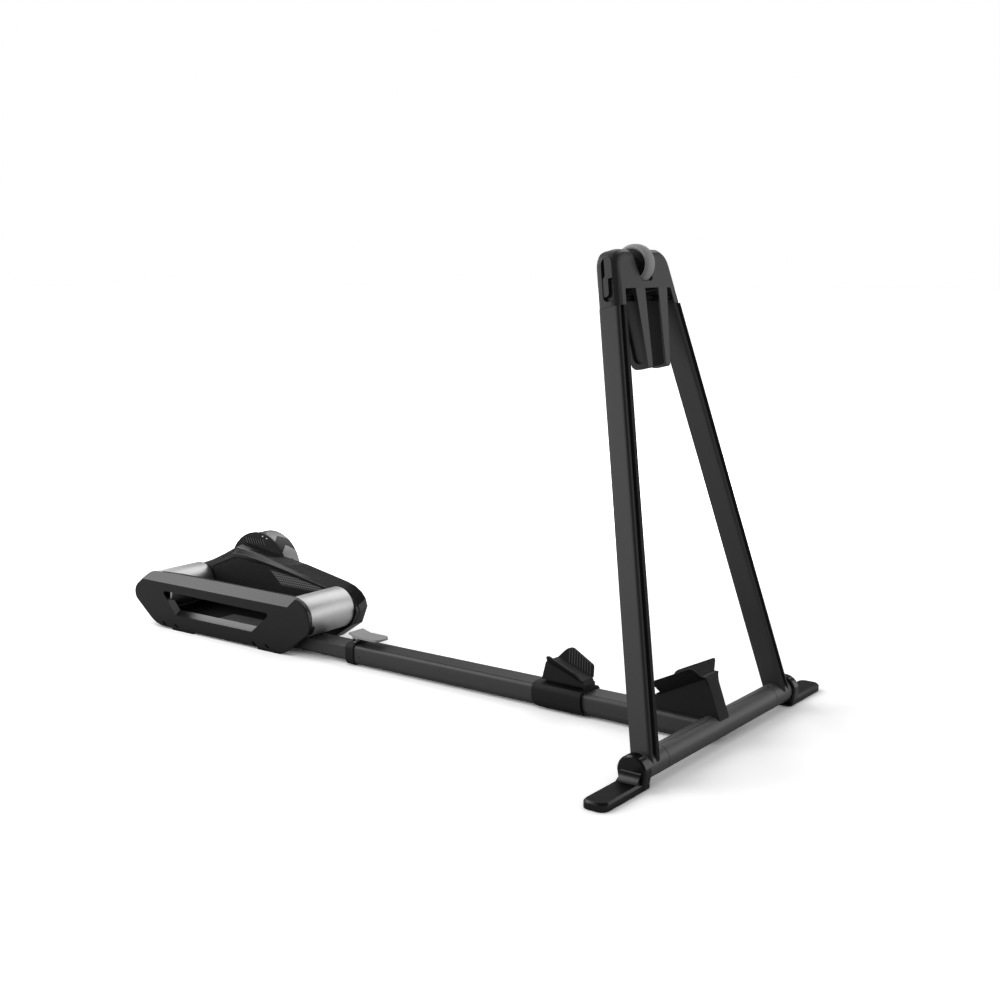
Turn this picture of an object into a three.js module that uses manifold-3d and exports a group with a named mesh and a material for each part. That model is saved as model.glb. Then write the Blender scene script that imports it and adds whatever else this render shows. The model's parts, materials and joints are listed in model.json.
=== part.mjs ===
// Bike rollers for one bicycle: the rear wheel turns on two aluminium rollers,
// and the front wheel stands in two cradles, held upright by an A-shaped frame.
// Units are millimetres, with +X forward, +Y to the flywheel side and +Z up.

import * as THREE from 'three';
import { mergeVertices } from 'three/addons/utils/BufferGeometryUtils.js';
import Module from 'manifold-3d';

// Shared sizes

const clearance = 0.3;
const runningGap = 0.6;
const overrun = 6;
const roundSteps = 34;
const smallSteps = 16;
const middleSteps = 24;
const cornerSteps = 3;
const degree = Math.PI / 180;

// Cross tube and feet

const tube = {
  radius: 22.5,
  wall: 2.6,
  halfLength: 200,
  axisHeight: 29,
  grooveWidth: 5,
  grooveDepth: 1.2,
  grooveAngle: 80 * degree,
  plugLength: 30,
};
const pivot = { radius: 8, intoFoot: 12 };
const collar = { length: 63, bushWall: 4 };
const foot = {
  heelRadius: 27.5,
  heelThickness: 22,
  heelChamfer: 3,
  toeLength: 113,
  toeHalfWidth: 22.4,
  toeTipRadius: 14,
  toeThickness: 14,
  toeChamfer: 3.5,
  filletReach: 36,
  filletHeight: 30,
  innerReach: 6,
  innerThickness: 4.6,
};
const footPad = { thickness: 2.4, recess: 1.4, margin: 3, cornerRadius: 8 };

// Boom: a fixed outer beam and the beam that slides in it

const boom = {
  halfWidth: 29,
  bottom: 3,
  top: 44,
  lowerRadius: 12,
  upperRadius: 7,
  wall: 2.4,
  frontEnd: 8,
  rearEnd: 829,
  grooveWidth: 1.8,
  grooveDepth: 1.6,
  plugLength: 58,
  screwRadius: 2.2,
  screwDepth: 1.4,
  screwAhead: 15,
  screwDrop: 3,
};
const bush = { wall: 1.1, length: 42 };
const innerBoom = { wall: 3, frontEnd: 640 };

// Clamp on the rear end of the boom

const clamp = {
  growth: 2.8,
  length: 24,
  lugHalfWidth: 5.6,
  lugRadius: 5.4,
};
const lever = {
  pinRadius: 2.6,
  pinRise: 9,
  pinAhead: 15,
  knuckleRadius: 5.8,
  halfWidth: 21,
  thickness: 5,
  riseReach: 12,
  riseHeight: 16,
  kinkReach: 12,
  kinkHeight: 10,
  tipReach: 68,
  tipHeight: 9.5,
  tipRadius: 15,
  rearRadius: 4,
};

// Cradles for the front wheel: a block, and a ramp with two flared wings

const cradle = {
  blockHalfWidth: 17,
  wall: 4,
  wingThickness: 3.6,
  flare: 45 * degree,
};
const frontCradle = {
  blockRear: 113,
  blockFront: 17,
  crestReach: 10,
  crestHeight: 121,
  rampLowReach: 108,
  rampLowHeight: 74,
  rampHighReach: 17,
  rampHighHeight: 118,
  wingHeight: 23.2,
  wingSetback: 12,
  wingLean: 4,
  wingRounding: 9,
  tipRounding: 5,
  frontThickness: 7,
  flareRadius: 27,
};
const rearCradle = {
  neckHalfWidth: 10,
  neckHeight: 5,
  blockFront: 262,
  blockRear: 360,
  blockTaper: 9,
  rampLowReach: 268,
  rampLowHeight: 66,
  rampHighReach: 345,
  rampHighHeight: 93,
  wingHeight: 21.4,
  wingLowHeight: 14,
  wingSetback: 13,
  wingRounding: 12,
  peakSetback: 9,
  peakRounding: 12,
  ribCount: 9,
  ribWidth: 2.2,
  ribHeight: 1.1,
  ribStart: 4,
  ribPitch: 6.2,
  ribLean: 45 * degree,
};
const sleeve = {
  wall: 5,
  front: 250,
  frontSetback: 12,
  frontRise: 24,
  rear: 372,
  skirtBottom: 4.5,
  skirtRadius: 17,
};

// A-frame: two legs, a head cap, a dial and two arms that grip the wheel

const frame = {
  lean: 13 * degree,
  footSpread: 243,
  insetShare: 0.2018,
  legRear: 17.9,
  legFront: 22.5,
  legHalfWidth: 15,
  legOuterRadius: 5,
  legFrontRadius: 7,
  legInnerRadius: 3.5,
  channelWidth: 11,
  channelDepth: 8,
  channelSetback: 7.5,
  legTop: 745,
  tongueRise: 47,
  tongueInset: 8,
  tongueOuterCut: 11,
};
const cap = {
  topRise: 99,
  undersideRise: 28,
  front: 23,
  rear: 17,
  cornerRadius: 37,
  innerRadius: 3,
  edgeRadius: 16,
  rearEdgeRadius: 5,
  innerSetback: 4,
  bridge: 12,
  slotFloorHalfWidth: 18,
  slotRadius: 6,
  slotTopHalfWidth: 39,
};
const dial = {
  radius: 35,
  drop: 25.8,
  forward: 5.5,
  halfWidth: 13,
  rimDepth: 9,
  rimCrown: 2.4,
  rimShoulder: 5,
  cheekHalfWidth: 10,
  spindleRadius: 4.5,
  spindleHalfLength: 70,
  reliefGap: 1.6,
  cheekDish: 3,
};
const arm = {
  halfGap: 22.5,
  topGap: 1,
  length: 136.5,
  topOuter: 53,
  bottomOuter: 37,
  topFront: 29.5,
  bottomFront: 17.5,
  topRear: -13,
  bottomRear: 16,
  rearRadius: 11,
  frontRadius: 4,
  pocketDepth: 7,
  pocketRim: 7,
  pocketLedge: 9,
  stemHalfDepth: 6,
  stemThickness: 7,
  nutRadius: 7.5,
  nutWidth: 12,
  nutStart: 47,
  closeTravel: 12,
  openTravel: 3.5,
  padThickness: 3,
  padMargin: 4,
  padRadius: 6,
};
const guide = { radius: 5, drop: 16, forward: 15 };
const tab = {
  bottomRise: 9,
  length: 78,
  forward: 4,
  halfWidth: 10.3,
  pocketDepth: 8,
  thickness: 4,
  sunk: 1.2,
  lowerGap: 9,
  upperGap: 5.5,
  stepRise: 39,
  bend: 6,
};

// Roller unit, measured from a station midway between the two rollers

const unit = { station: 1201, halfSpacing: 224 };
const roller = {
  radius: 45,
  axisHeight: 85,
  wall: 4,
  nearEnd: 46,
  farEnd: 84.5,
  hubThickness: 12,
  hubInset: 3,
  shaftRadius: 8,
  endChamfer: 1,
};
const plate = {
  inner: 38,
  thickness: 19,
  height: 132,
  rollerRecess: 8.5,
  recessMargin: 2.6,
  edgeRadius: 1.5,
  bevelDrop: 24,
  bevelRun: 9.5,
  bevelRearReach: 320,
  bevelFrontReach: 206,
  bevelSlantRun: 35,
  shaftSeat: 16,
  sillRise: 8,
  slotLength: 15,
  slotWidth: 4.6,
  slotDepth: 4,
  slotHeight: 11.5,
  slotTilt: 27 * degree,
  slotPitch: 41,
  slotRearReach: 174.5,
  slotFrontReach: 121.5,
};
const housing = {
  inner: 85,
  crease: 93,
  outer: 121,
  height: 184,
  wall: 4,
  panelDepth: 3,
  panelSunk: 0.8,
  panelGap: 0.9,
  seam: 0.8,
  seamDepth: 1.5,
};
const base = {
  top: 37,
  bottom: 8,
  sillRear: 246,
  rearToe: 192,
  sillFront: 90,
  skirtReach: 30,
  skirtHeight: 19,
  wall: 4,
  boomReach: 46,
};
const pad = { length: 72, width: 17, cornerRadius: 4, rearReach: 136, frontReach: 144 };
const flywheel = {
  axisReach: 67,
  axisHeight: 125,
  radius: 85.5,
  near: 128,
  far: 176,
  rimThickness: 13,
  webThickness: 8,
  hubRadius: 17,
  shaftRadius: 7,
  edgeRound: 4,
};
const stator = { radius: 66, poles: 6, poleGap: 16, coreRadius: 44, thickness: 26 };
const shroud = {
  radius: 95.3,
  drop: 7,
  thickness: 5,
  slotCount: 7,
  slotWidth: 2.2,
  slotLength: 17,
  slotPitch: 8,
  slotLean: 25 * degree,
  slotRadius: 67,
  slotAngle: 97 * degree,
  edge: 1,
  lightHalfWidth: 2.6,
  lightHalfHeight: 1.6,
  lightRadius: 82,
  lightAngle: 69 * degree,
  lightSpread: 9.5 * degree,
  lightDepth: 1.6,
};
const pulley = {
  driveRadius: 32,
  drivenRadius: 13,
  width: 12,
  near: 99,
  flange: 1.6,
};
const belt = { thickness: 2.4, width: 10, room: 6 };
const inlet = { radius: 6, boreRadius: 2.6, depth: 12, across: 107, height: 72 };

// Outline shares: [along, up, corner radius], shares of a length and a height

const sidePlateShares = [
  [-1, 0.03, 0.6],
  [0.848, 0.03, 0.114],
  [1.205, 0.455, 0.19],
  [1.205, 0.994, 0.38],
  [-0.64, 1.004, 0.4],
  [-1.085, 0.977, 0.25],
  [-1.326, 0.66, 0.19],
  [-1.326, 0.47, 0.18],
];
const windowShares = [
  [-0.897, 0.674, 0.04],
  [-0.688, 0.28, 0.06],
  [0.42, 0.28, 0.06],
  [0.69, 0.65, 0.04],
];
const housingFloorShares = [
  [1.16, 0.26],
  [0.9, 0.05],
  [0.82, 0.022],
  [-0.82, 0.022],
  [-0.9, 0.045],
  [-1.27, 0.28],
  [-1.325, 0.33],
];
const housingAlongShares = [
  -1.325, -1.27, -1.0, -0.81, -0.56, -0.49, -0.34, -0.06, 0.22, 0.42, 0.71, 0.98, 1.08, 1.16, 1.21, 1.232,
];
const housingInnerShares = [
  0.44, 0.54, 0.63, 0.735, 0.862, 0.896, 0.895, 0.853, 0.8, 0.757, 0.692, 0.635, 0.6, 0.55, 0.49, 0.43,
];
const housingCreaseShares = [
  0.46, 0.565, 0.665, 0.77, 0.905, 0.965, 0.95, 0.905, 0.832, 0.785, 0.713, 0.652, 0.617, 0.566, 0.502, 0.435,
];
const housingOuterShares = [
  0.47, 0.59, 0.706, 0.81, 0.965, 0.998, 0.985, 0.93, 0.888, 0.855, 0.79, 0.727, 0.69, 0.632, 0.56, 0.47,
];
const panelShares = [
  [-0.7, 0.22, 0.05],
  [0.7, 0.22, 0.05],
  [0.76, 0.45, 0.05],
  [0.8, 0.64, 0.03],
  [-0.02, 0.81, 0.3],
  [-0.47, 0.85, 0.12],
  [-0.84, 0.66, 0.05],
  [-0.76, 0.45, 0.05],
];

// Finishes, one record per material that the pieces share

const finish = {
  satinBlack: { color: 0x232324, roughness: 0.52, metalness: 0.25 },
  glossBlack: { color: 0x141415, roughness: 0.24, metalness: 0.1 },
  castGrey: { color: 0x2b2b2c, roughness: 0.6, metalness: 0.2 },
  plastic: { color: 0x1d1d1e, roughness: 0.7, metalness: 0 },
  rubber: { color: 0x101010, roughness: 0.92, metalness: 0 },
  aluminium: { color: 0xc9cacb, roughness: 0.3, metalness: 0.9 },
  steel: { color: 0x9a9b9d, roughness: 0.35, metalness: 0.95 },
  leverGrey: { color: 0x7c7c7d, roughness: 0.48, metalness: 0.3 },
  dialGrey: { color: 0x8c8c8d, roughness: 0.55, metalness: 0.1 },
  copper: { color: 0x9a5b34, roughness: 0.45, metalness: 0.8 },
};

// Solids: closed shapes that can be joined and cut

const library = await Module();
library.setup();

function signedVolume(positions, corners) {
  const [a, b, c] = [new THREE.Vector3(), new THREE.Vector3(), new THREE.Vector3()];
  let total = 0;
  for (let index = 0; index < corners.length; index += 3) {
    a.fromArray(positions, 3 * corners[index]);
    b.fromArray(positions, 3 * corners[index + 1]);
    c.fromArray(positions, 3 * corners[index + 2]);
    total += a.dot(b.cross(c));
  }
  return total;
}

function solid(geometry) {
  const bare = geometry.clone();
  bare.deleteAttribute('normal');
  bare.deleteAttribute('uv');
  const merged = mergeVertices(bare);
  const corners = Uint32Array.from(merged.index.array);
  const positions = Float32Array.from(merged.attributes.position.array);
  if (signedVolume(positions, corners) < 0) {
    for (let index = 0; index < corners.length; index += 3) {
      [corners[index + 1], corners[index + 2]] = [corners[index + 2], corners[index + 1]];
    }
  }
  return new library.Manifold(
    new library.Mesh({ numProp: 3, vertProperties: positions, triVerts: corners }),
  );
}

function geometryOf(body) {
  const { vertProperties, triVerts } = body.getMesh();
  const geometry = new THREE.BufferGeometry();
  geometry.setAttribute('position', new THREE.BufferAttribute(vertProperties, 3));
  geometry.setIndex(new THREE.BufferAttribute(triVerts, 1));
  geometry.computeVertexNormals();
  return geometry;
}

function joined(...bodies) {
  return bodies.reduce((sum, body) => sum.add(body));
}

function less(body, ...cutters) {
  return cutters.reduce((rest, cutter) => rest.subtract(cutter), body);
}

function common(...bodies) {
  return bodies.reduce((shared, body) => shared.intersect(body));
}

function moved(body, x, y, z) {
  return body.translate([x, y, z]);
}

// A closed outline from corners [a, b, radius], with each corner rounded by an arc

function outline(corners, steps = cornerSteps) {
  const points = [];
  corners.forEach(([a, b, radius = 0], index) => {
    const here = new THREE.Vector2(a, b);
    if (radius === 0) {
      points.push(here);
      return;
    }
    const last = corners[(index + corners.length - 1) % corners.length];
    const next = corners[(index + 1) % corners.length];
    const back = new THREE.Vector2(last[0], last[1]).sub(here).normalize();
    const ahead = new THREE.Vector2(next[0], next[1]).sub(here).normalize();
    const half = Math.acos(THREE.MathUtils.clamp(back.dot(ahead), -1, 1)) / 2;
    const centre = back.clone().add(ahead).normalize().multiplyScalar(radius / Math.sin(half)).add(here);
    const start = back.clone().multiplyScalar(radius / Math.tan(half)).add(here).sub(centre);
    const turn = Math.sign(back.cross(ahead)) * (2 * half - Math.PI);
    for (let step = 0; step <= steps; step += 1) {
      const arcPoint = start.clone().rotateAround(new THREE.Vector2(), (turn * step) / steps);
      points.push(arcPoint.add(centre));
    }
  });
  return points;
}

function fromShares(shares, length, height) {
  return shares.map(([along, up, radius = 0]) => [along * length, up * height, radius * height]);
}

function rectangle(left, right, low, high, radius = 0) {
  return [
    [left, low, radius],
    [right, low, radius],
    [right, high, radius],
    [left, high, radius],
  ];
}

function ring(radius, centreA = 0, centreB = 0, steps = roundSteps) {
  return Array.from({ length: steps }, (_, step) => {
    const angle = (2 * Math.PI * step) / steps;
    return new THREE.Vector2(centreA + radius * Math.cos(angle), centreB + radius * Math.sin(angle));
  });
}

// Prisms: an outline pushed along one axis, with its edges eased where a bevel is given

const frameX = new THREE.Matrix4().makeBasis(
  new THREE.Vector3(0, 1, 0), new THREE.Vector3(0, 0, 1), new THREE.Vector3(1, 0, 0),
);
const frameY = new THREE.Matrix4().makeBasis(
  new THREE.Vector3(1, 0, 0), new THREE.Vector3(0, 0, 1), new THREE.Vector3(0, -1, 0),
);

function prism(points, depth, bevel = 0, segments = 1) {
  const shape = new THREE.Shape(points);
  const settings = { depth: depth - 2 * bevel, bevelEnabled: bevel > 0, steps: 1, bevelSegments: segments };
  if (bevel > 0) {
    Object.assign(settings, { bevelSize: bevel, bevelThickness: bevel, bevelOffset: -bevel });
  }
  return new THREE.ExtrudeGeometry(shape, settings).translate(0, 0, bevel);
}

function prismX(points, from, to, bevel, segments) {
  return solid(prism(points, to - from, bevel, segments).applyMatrix4(frameX).translate(from, 0, 0));
}

function prismY(points, from, to, bevel) {
  return solid(prism(points, to - from, bevel).applyMatrix4(frameY).translate(0, to, 0));
}

function prismZ(points, from, to, bevel) {
  return solid(prism(points, to - from, bevel).translate(0, 0, from));
}

function block(fromX, toX, fromY, toY, fromZ, toZ) {
  const box = new THREE.BoxGeometry(toX - fromX, toY - fromY, toZ - fromZ);
  return solid(box.translate((fromX + toX) / 2, (fromY + toY) / 2, (fromZ + toZ) / 2));
}

// Turned pieces: a cylinder and a revolved profile, both round an axis along Y

function rod(radius, from, to, x = 0, z = 0, steps = roundSteps) {
  const cylinder = new THREE.CylinderGeometry(radius, radius, to - from, steps);
  return solid(cylinder.translate(x, (from + to) / 2, z));
}

function turned(profile, x = 0, z = 0, steps = roundSteps) {
  const points = profile.map(([radius, along]) => new THREE.Vector2(radius, along));
  return solid(new THREE.LatheGeometry(points, steps).translate(x, 0, z));
}

// A loft between outlines of equal point counts that stand at given places along Y

function loftY(sections) {
  const count = sections[0].points.length;
  const positions = sections.flatMap(({ y, points }) => points.flatMap((point) => [point.x, y, point.y]));
  const corners = [];
  for (let level = 0; level + 1 < sections.length; level += 1) {
    for (let step = 0; step < count; step += 1) {
      const next = (step + 1) % count;
      const [a, b] = [level * count + step, level * count + next];
      const [c, d] = [a + count, b + count];
      corners.push(a, b, c, b, d, c);
    }
  }
  const last = (sections.length - 1) * count;
  THREE.ShapeUtils.triangulateShape(sections[0].points, []).forEach(([a, b, c]) => {
    corners.push(a, c, b);
  });
  THREE.ShapeUtils.triangulateShape(sections[sections.length - 1].points, []).forEach(([a, b, c]) => {
    corners.push(last + a, last + b, last + c);
  });
  const geometry = new THREE.BufferGeometry();
  geometry.setAttribute('position', new THREE.Float32BufferAttribute(positions, 3));
  geometry.setIndex(corners);
  return solid(geometry);
}

function addPiece(parent, name, body, material) {
  const mesh = new THREE.Mesh(geometryOf(body), new THREE.MeshStandardMaterial(material));
  mesh.name = name;
  parent.add(mesh);
  return mesh;
}

// The two sides of the stand are mirror images: the near side is -Y, the far side is +Y

const sides = [
  { prefix: 'near', sign: -1 },
  { prefix: 'far', sign: 1 },
];

function toSide(body, sign) {
  return sign > 0 ? body : body.mirror([0, 1, 0]);
}

const model = new THREE.Group();
const stand = new THREE.Group();
model.add(stand);

// Cross tube with its end plugs and the shaft that the legs turn on

const tubeBore = tube.radius - tube.wall;
const tubeEnd = tube.halfLength - clearance;
const heelStart = tube.halfLength + collar.length + clearance;
const heelEnd = heelStart + foot.heelThickness;
const shaftEnd = heelStart + pivot.intoFoot;

const grooveSection = outline(rectangle(-tube.grooveWidth / 2, tube.grooveWidth / 2, -tube.grooveDepth, overrun));
const tubeGroove = moved(
  prismY(grooveSection, -tubeEnd - overrun, tubeEnd + overrun)
    .translate([0, 0, tube.radius])
    .rotate([0, 90 - tube.grooveAngle / degree, 0]),
  0, 0, tube.axisHeight,
);
addPiece(stand, 'cross_tube', less(
  rod(tube.radius, -tubeEnd, tubeEnd, 0, tube.axisHeight),
  rod(tubeBore, -tubeEnd - overrun, tubeEnd + overrun, 0, tube.axisHeight),
  tubeGroove,
), finish.satinBlack);

addPiece(stand, 'pivot_shaft', rod(pivot.radius, -shaftEnd, shaftEnd, 0, tube.axisHeight, smallSteps), finish.steel);

sides.forEach(({ prefix, sign }) => {
  const plug = less(
    rod(tubeBore - clearance, tubeEnd - tube.plugLength, tubeEnd - clearance, 0, tube.axisHeight, smallSteps),
    rod(pivot.radius + clearance, 0, tubeEnd + overrun, 0, tube.axisHeight, smallSteps),
  );
  addPiece(stand, `${prefix}_tube_plug`, toSide(plug, sign), finish.castGrey);
});

// Feet: a domed heel that holds the shaft, a long toe and a thin sole under the collar

const footBottom = footPad.thickness - footPad.recess;
const toeTop = footBottom + foot.toeThickness;
const toeEnd = heelEnd + foot.toeLength;
const soleStart = heelStart - foot.innerReach;

function footSolid() {
  const dome = ring(foot.heelRadius, 0, tube.axisHeight).filter((point) => point.y >= tube.axisHeight);
  const heelOutline = [
    ...dome,
    new THREE.Vector2(-foot.heelRadius, tube.axisHeight),
    new THREE.Vector2(-foot.toeHalfWidth, footBottom),
    new THREE.Vector2(foot.toeHalfWidth, footBottom),
    new THREE.Vector2(foot.heelRadius, tube.axisHeight),
  ];
  const heel = prismY(heelOutline, heelStart, heelEnd, foot.heelChamfer);
  const toePlan = outline([
    [-foot.toeHalfWidth, heelStart],
    [foot.toeHalfWidth, heelStart],
    [foot.toeHalfWidth, toeEnd, foot.toeTipRadius],
    [-foot.toeHalfWidth, toeEnd, foot.toeTipRadius],
  ]);
  const toeBlock = prismZ(toePlan, footBottom - foot.toeChamfer, toeTop, foot.toeChamfer);
  const toe = less(toeBlock, block(
    -foot.heelRadius, foot.heelRadius, heelStart - overrun, toeEnd + overrun, footBottom - overrun, footBottom,
  ));
  const filletPoints = [new THREE.Vector2(heelEnd - foot.heelChamfer, footBottom)];
  const steps = 2 * cornerSteps;
  for (let step = 0; step <= steps; step += 1) {
    const angle = (Math.PI / 2) * (step / steps);
    filletPoints.push(new THREE.Vector2(
      heelEnd - foot.heelChamfer + foot.filletReach * (1 - Math.sin(angle)),
      toeTop - foot.toeChamfer + foot.filletHeight * (1 - Math.cos(angle)),
    ));
  }
  const fillet = prismX(filletPoints, -foot.toeHalfWidth + foot.toeChamfer, foot.toeHalfWidth - foot.toeChamfer);
  const sole = prismZ(outline([
    [-foot.toeHalfWidth, heelStart + foot.heelChamfer],
    [foot.toeHalfWidth, heelStart + foot.heelChamfer],
    [foot.toeHalfWidth, soleStart, footPad.cornerRadius],
    [-foot.toeHalfWidth, soleStart, footPad.cornerRadius],
  ]), footBottom, footBottom + foot.innerThickness);
  return joined(heel, toe, fillet, sole);
}

function footPadPlan(margin) {
  return outline([
    [-foot.toeHalfWidth + margin, soleStart + margin, footPad.cornerRadius],
    [foot.toeHalfWidth - margin, soleStart + margin, footPad.cornerRadius],
    [foot.toeHalfWidth - margin, toeEnd - margin, foot.toeTipRadius - margin],
    [-foot.toeHalfWidth + margin, toeEnd - margin, foot.toeTipRadius - margin],
  ]);
}

sides.forEach(({ prefix, sign }) => {
  const shaftBore = rod(
    pivot.radius + clearance, heelStart - overrun, shaftEnd + clearance, 0, tube.axisHeight, smallSteps,
  );
  const padSeat = prismZ(footPadPlan(footPad.margin - clearance), -overrun, footPad.thickness + clearance);
  addPiece(stand, `${prefix}_foot`, toSide(less(footSolid(), shaftBore, padSeat), sign), finish.glossBlack);
  addPiece(stand, `${prefix}_foot_pad`, toSide(prismZ(footPadPlan(footPad.margin), 0, footPad.thickness), sign),
    finish.rubber);
});

// Boom: a flat-topped hollow section, coped onto the cross tube

function boomSection(growth) {
  const halfWidth = boom.halfWidth + growth;
  const lower = boom.lowerRadius + growth;
  const upper = Math.max(boom.upperRadius + growth, boom.wall / 2);
  return outline([
    [-halfWidth, boom.bottom - growth, lower],
    [halfWidth, boom.bottom - growth, lower],
    [halfWidth, boom.top + growth, upper],
    [-halfWidth, boom.top + growth, upper],
  ]);
}

const tubeCope = rod(tube.radius + clearance, -tube.halfLength, tube.halfLength, 0, tube.axisHeight);
const flatHalfWidth = boom.halfWidth - boom.upperRadius;

function boomGroove(sign) {
  const inner = sign * flatHalfWidth - boom.grooveWidth / 2;
  return block(
    -boom.rearEnd - overrun, overrun, inner, inner + boom.grooveWidth, boom.top - boom.grooveDepth, boom.top + overrun,
  );
}

const clampScrewSink = rod(
  boom.screwRadius, -boom.halfWidth - overrun, -boom.halfWidth + boom.screwDepth,
  -boom.rearEnd + boom.screwAhead, (boom.top + boom.bottom) / 2 - boom.screwDrop, smallSteps,
);
addPiece(stand, 'front_boom', less(
  prismX(boomSection(0), -boom.rearEnd, -boom.frontEnd),
  prismX(boomSection(-boom.wall), -boom.rearEnd - overrun, overrun),
  boomGroove(-1),
  boomGroove(1),
  clampScrewSink,
  tubeCope,
), finish.satinBlack);

const plugStart = -boom.frontEnd - tube.radius / 2;
addPiece(stand, 'boom_plug', less(
  prismX(boomSection(-boom.wall - clearance), -boom.plugLength - tube.radius, plugStart),
  tubeCope,
), finish.castGrey);

// Slide bush and the clamp at the rear end of the boom

const bushOuter = -boom.wall - clearance;
const bushInner = bushOuter - bush.wall;
const slideGrowth = bushInner - clearance;
const boomEnd = -boom.rearEnd;
const clampRear = boomEnd - clearance - clamp.length;

addPiece(stand, 'slide_bush', less(
  prismX(boomSection(bushOuter), boomEnd, boomEnd + bush.length),
  prismX(boomSection(bushInner), boomEnd - overrun, boomEnd + bush.length + overrun),
), finish.plastic);

const pinX = clampRear + lever.pinAhead;
const pinZ = boom.top + lever.pinRise;
const clampTop = boom.top + clamp.growth;
const clampLug = prismY([
  ...ring(clamp.lugRadius, pinX, pinZ, smallSteps).filter((point) => point.y >= pinZ),
  new THREE.Vector2(pinX - clamp.lugRadius, clampTop - clamp.growth / 2),
  new THREE.Vector2(pinX + clamp.lugRadius, clampTop - clamp.growth / 2),
], -clamp.lugHalfWidth, clamp.lugHalfWidth);
addPiece(stand, 'clamp_collar', less(
  joined(prismX(boomSection(clamp.growth), clampRear, boomEnd - clearance, boom.grooveDepth), clampLug),
  prismX(boomSection(bushInner), clampRear - overrun, boomEnd + overrun),
  rod(lever.pinRadius + clearance, -lever.halfWidth, lever.halfWidth, pinX, pinZ, smallSteps),
), finish.castGrey);

addPiece(stand, 'lever_pin', rod(
  lever.pinRadius, -lever.halfWidth + clearance, lever.halfWidth - clearance, pinX, pinZ, smallSteps,
), finish.steel);

const leverProfile = outline([
  [-lever.riseReach, lever.riseHeight, lever.thickness / 3],
  [-lever.riseReach - lever.thickness / 3, lever.riseHeight - lever.thickness, lever.thickness / 3],
  [lever.kinkReach - lever.thickness, lever.kinkHeight - lever.thickness, lever.thickness],
  [lever.tipReach, lever.tipHeight - lever.thickness, lever.thickness / 3],
  [lever.tipReach, lever.tipHeight, lever.thickness / 3],
  [lever.kinkReach, lever.kinkHeight, lever.thickness],
]);
const leverPlan = outline([
  [-lever.riseReach - lever.thickness, -lever.halfWidth, lever.rearRadius],
  [lever.tipReach, -lever.halfWidth, lever.tipRadius],
  [lever.tipReach, lever.halfWidth, lever.tipRadius],
  [-lever.riseReach - lever.thickness, lever.halfWidth, lever.rearRadius],
]);
const leverBlade = common(
  prismY(leverProfile, -lever.halfWidth, lever.halfWidth),
  prismZ(leverPlan, -lever.riseHeight, lever.riseHeight + overrun),
);
const knuckleEnd = lever.halfWidth - lever.rearRadius;
const knuckle = joined(
  rod(lever.knuckleRadius, -knuckleEnd, knuckleEnd, 0, 0, smallSteps),
  prismY([
    new THREE.Vector2(-lever.knuckleRadius, 0),
    new THREE.Vector2(lever.knuckleRadius, 0),
    new THREE.Vector2(lever.kinkReach - lever.thickness, lever.kinkHeight - lever.thickness / 2),
    new THREE.Vector2(-lever.riseReach + lever.thickness, lever.riseHeight - lever.thickness),
  ], -knuckleEnd, knuckleEnd),
);
const lugSlot = rod(lever.knuckleRadius + runningGap, -clamp.lugHalfWidth - runningGap, clamp.lugHalfWidth + runningGap);
const leverBore = rod(lever.pinRadius + clearance, -lever.halfWidth - overrun, lever.halfWidth + overrun, 0, 0, smallSteps);
addPiece(stand, 'clamp_lever', moved(
  less(joined(leverBlade, knuckle), lugSlot, leverBore), pinX, 0, pinZ,
), finish.leverGrey);

// Cradles: a trough along a ramp, trimmed to its side outline, on a hollow block

function troughSection(halfWidth, wingHeight, thickness) {
  const spread = wingHeight / Math.tan(cradle.flare);
  const bend = thickness * Math.tan(cradle.flare / 2);
  return outline([
    [-halfWidth, 0],
    [halfWidth, 0],
    [halfWidth + spread, wingHeight],
    [halfWidth + spread + thickness * Math.SQRT1_2, wingHeight - thickness * Math.SQRT1_2],
    [halfWidth + bend, -thickness],
    [-halfWidth - bend, -thickness],
    [-halfWidth - spread - thickness * Math.SQRT1_2, wingHeight - thickness * Math.SQRT1_2],
    [-halfWidth - spread, wingHeight],
  ]);
}

function ramp(low, high, side, wingHeight, extra = []) {
  const length = high.distanceTo(low);
  const section = troughSection(cradle.blockHalfWidth, wingHeight + cradle.wingThickness, cradle.wingThickness);
  const trough = joined(prismX(section, 0, length), ...extra);
  return common(trough, prismY(side(length), -wingHeight * 3, wingHeight * 3));
}

const frontLow = new THREE.Vector2(-frontCradle.rampLowReach, frontCradle.rampLowHeight);
const frontHigh = new THREE.Vector2(-frontCradle.rampHighReach, frontCradle.rampHighHeight);
const frontRampAngle = frontHigh.clone().sub(frontLow).angle();
const frontSide = (length) => outline([
  [0, -cradle.wingThickness],
  [length, -cradle.wingThickness],
  [length, frontCradle.wingHeight, frontCradle.tipRounding],
  [frontCradle.wingSetback, frontCradle.wingHeight, frontCradle.wingRounding],
  [frontCradle.wingSetback - frontCradle.wingLean, 0],
  [0, 0],
]);
const frontTrough = ramp(frontLow, frontHigh, frontSide, frontCradle.wingHeight)
  .rotate([0, -frontRampAngle / degree, 0])
  .translate([frontLow.x, 0, frontLow.y]);
const cradleSeat = boom.top + clearance;
const frontBlockOutline = [
  [-frontCradle.blockRear, cradleSeat],
  [frontCradle.blockFront, cradleSeat],
  [-frontCradle.crestReach, frontCradle.crestHeight],
  [-frontCradle.rampHighReach, frontCradle.rampHighHeight],
  [-frontCradle.rampLowReach, frontCradle.rampLowHeight],
  [-frontCradle.blockRear, frontCradle.rampLowHeight - cradle.wall],
];
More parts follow.
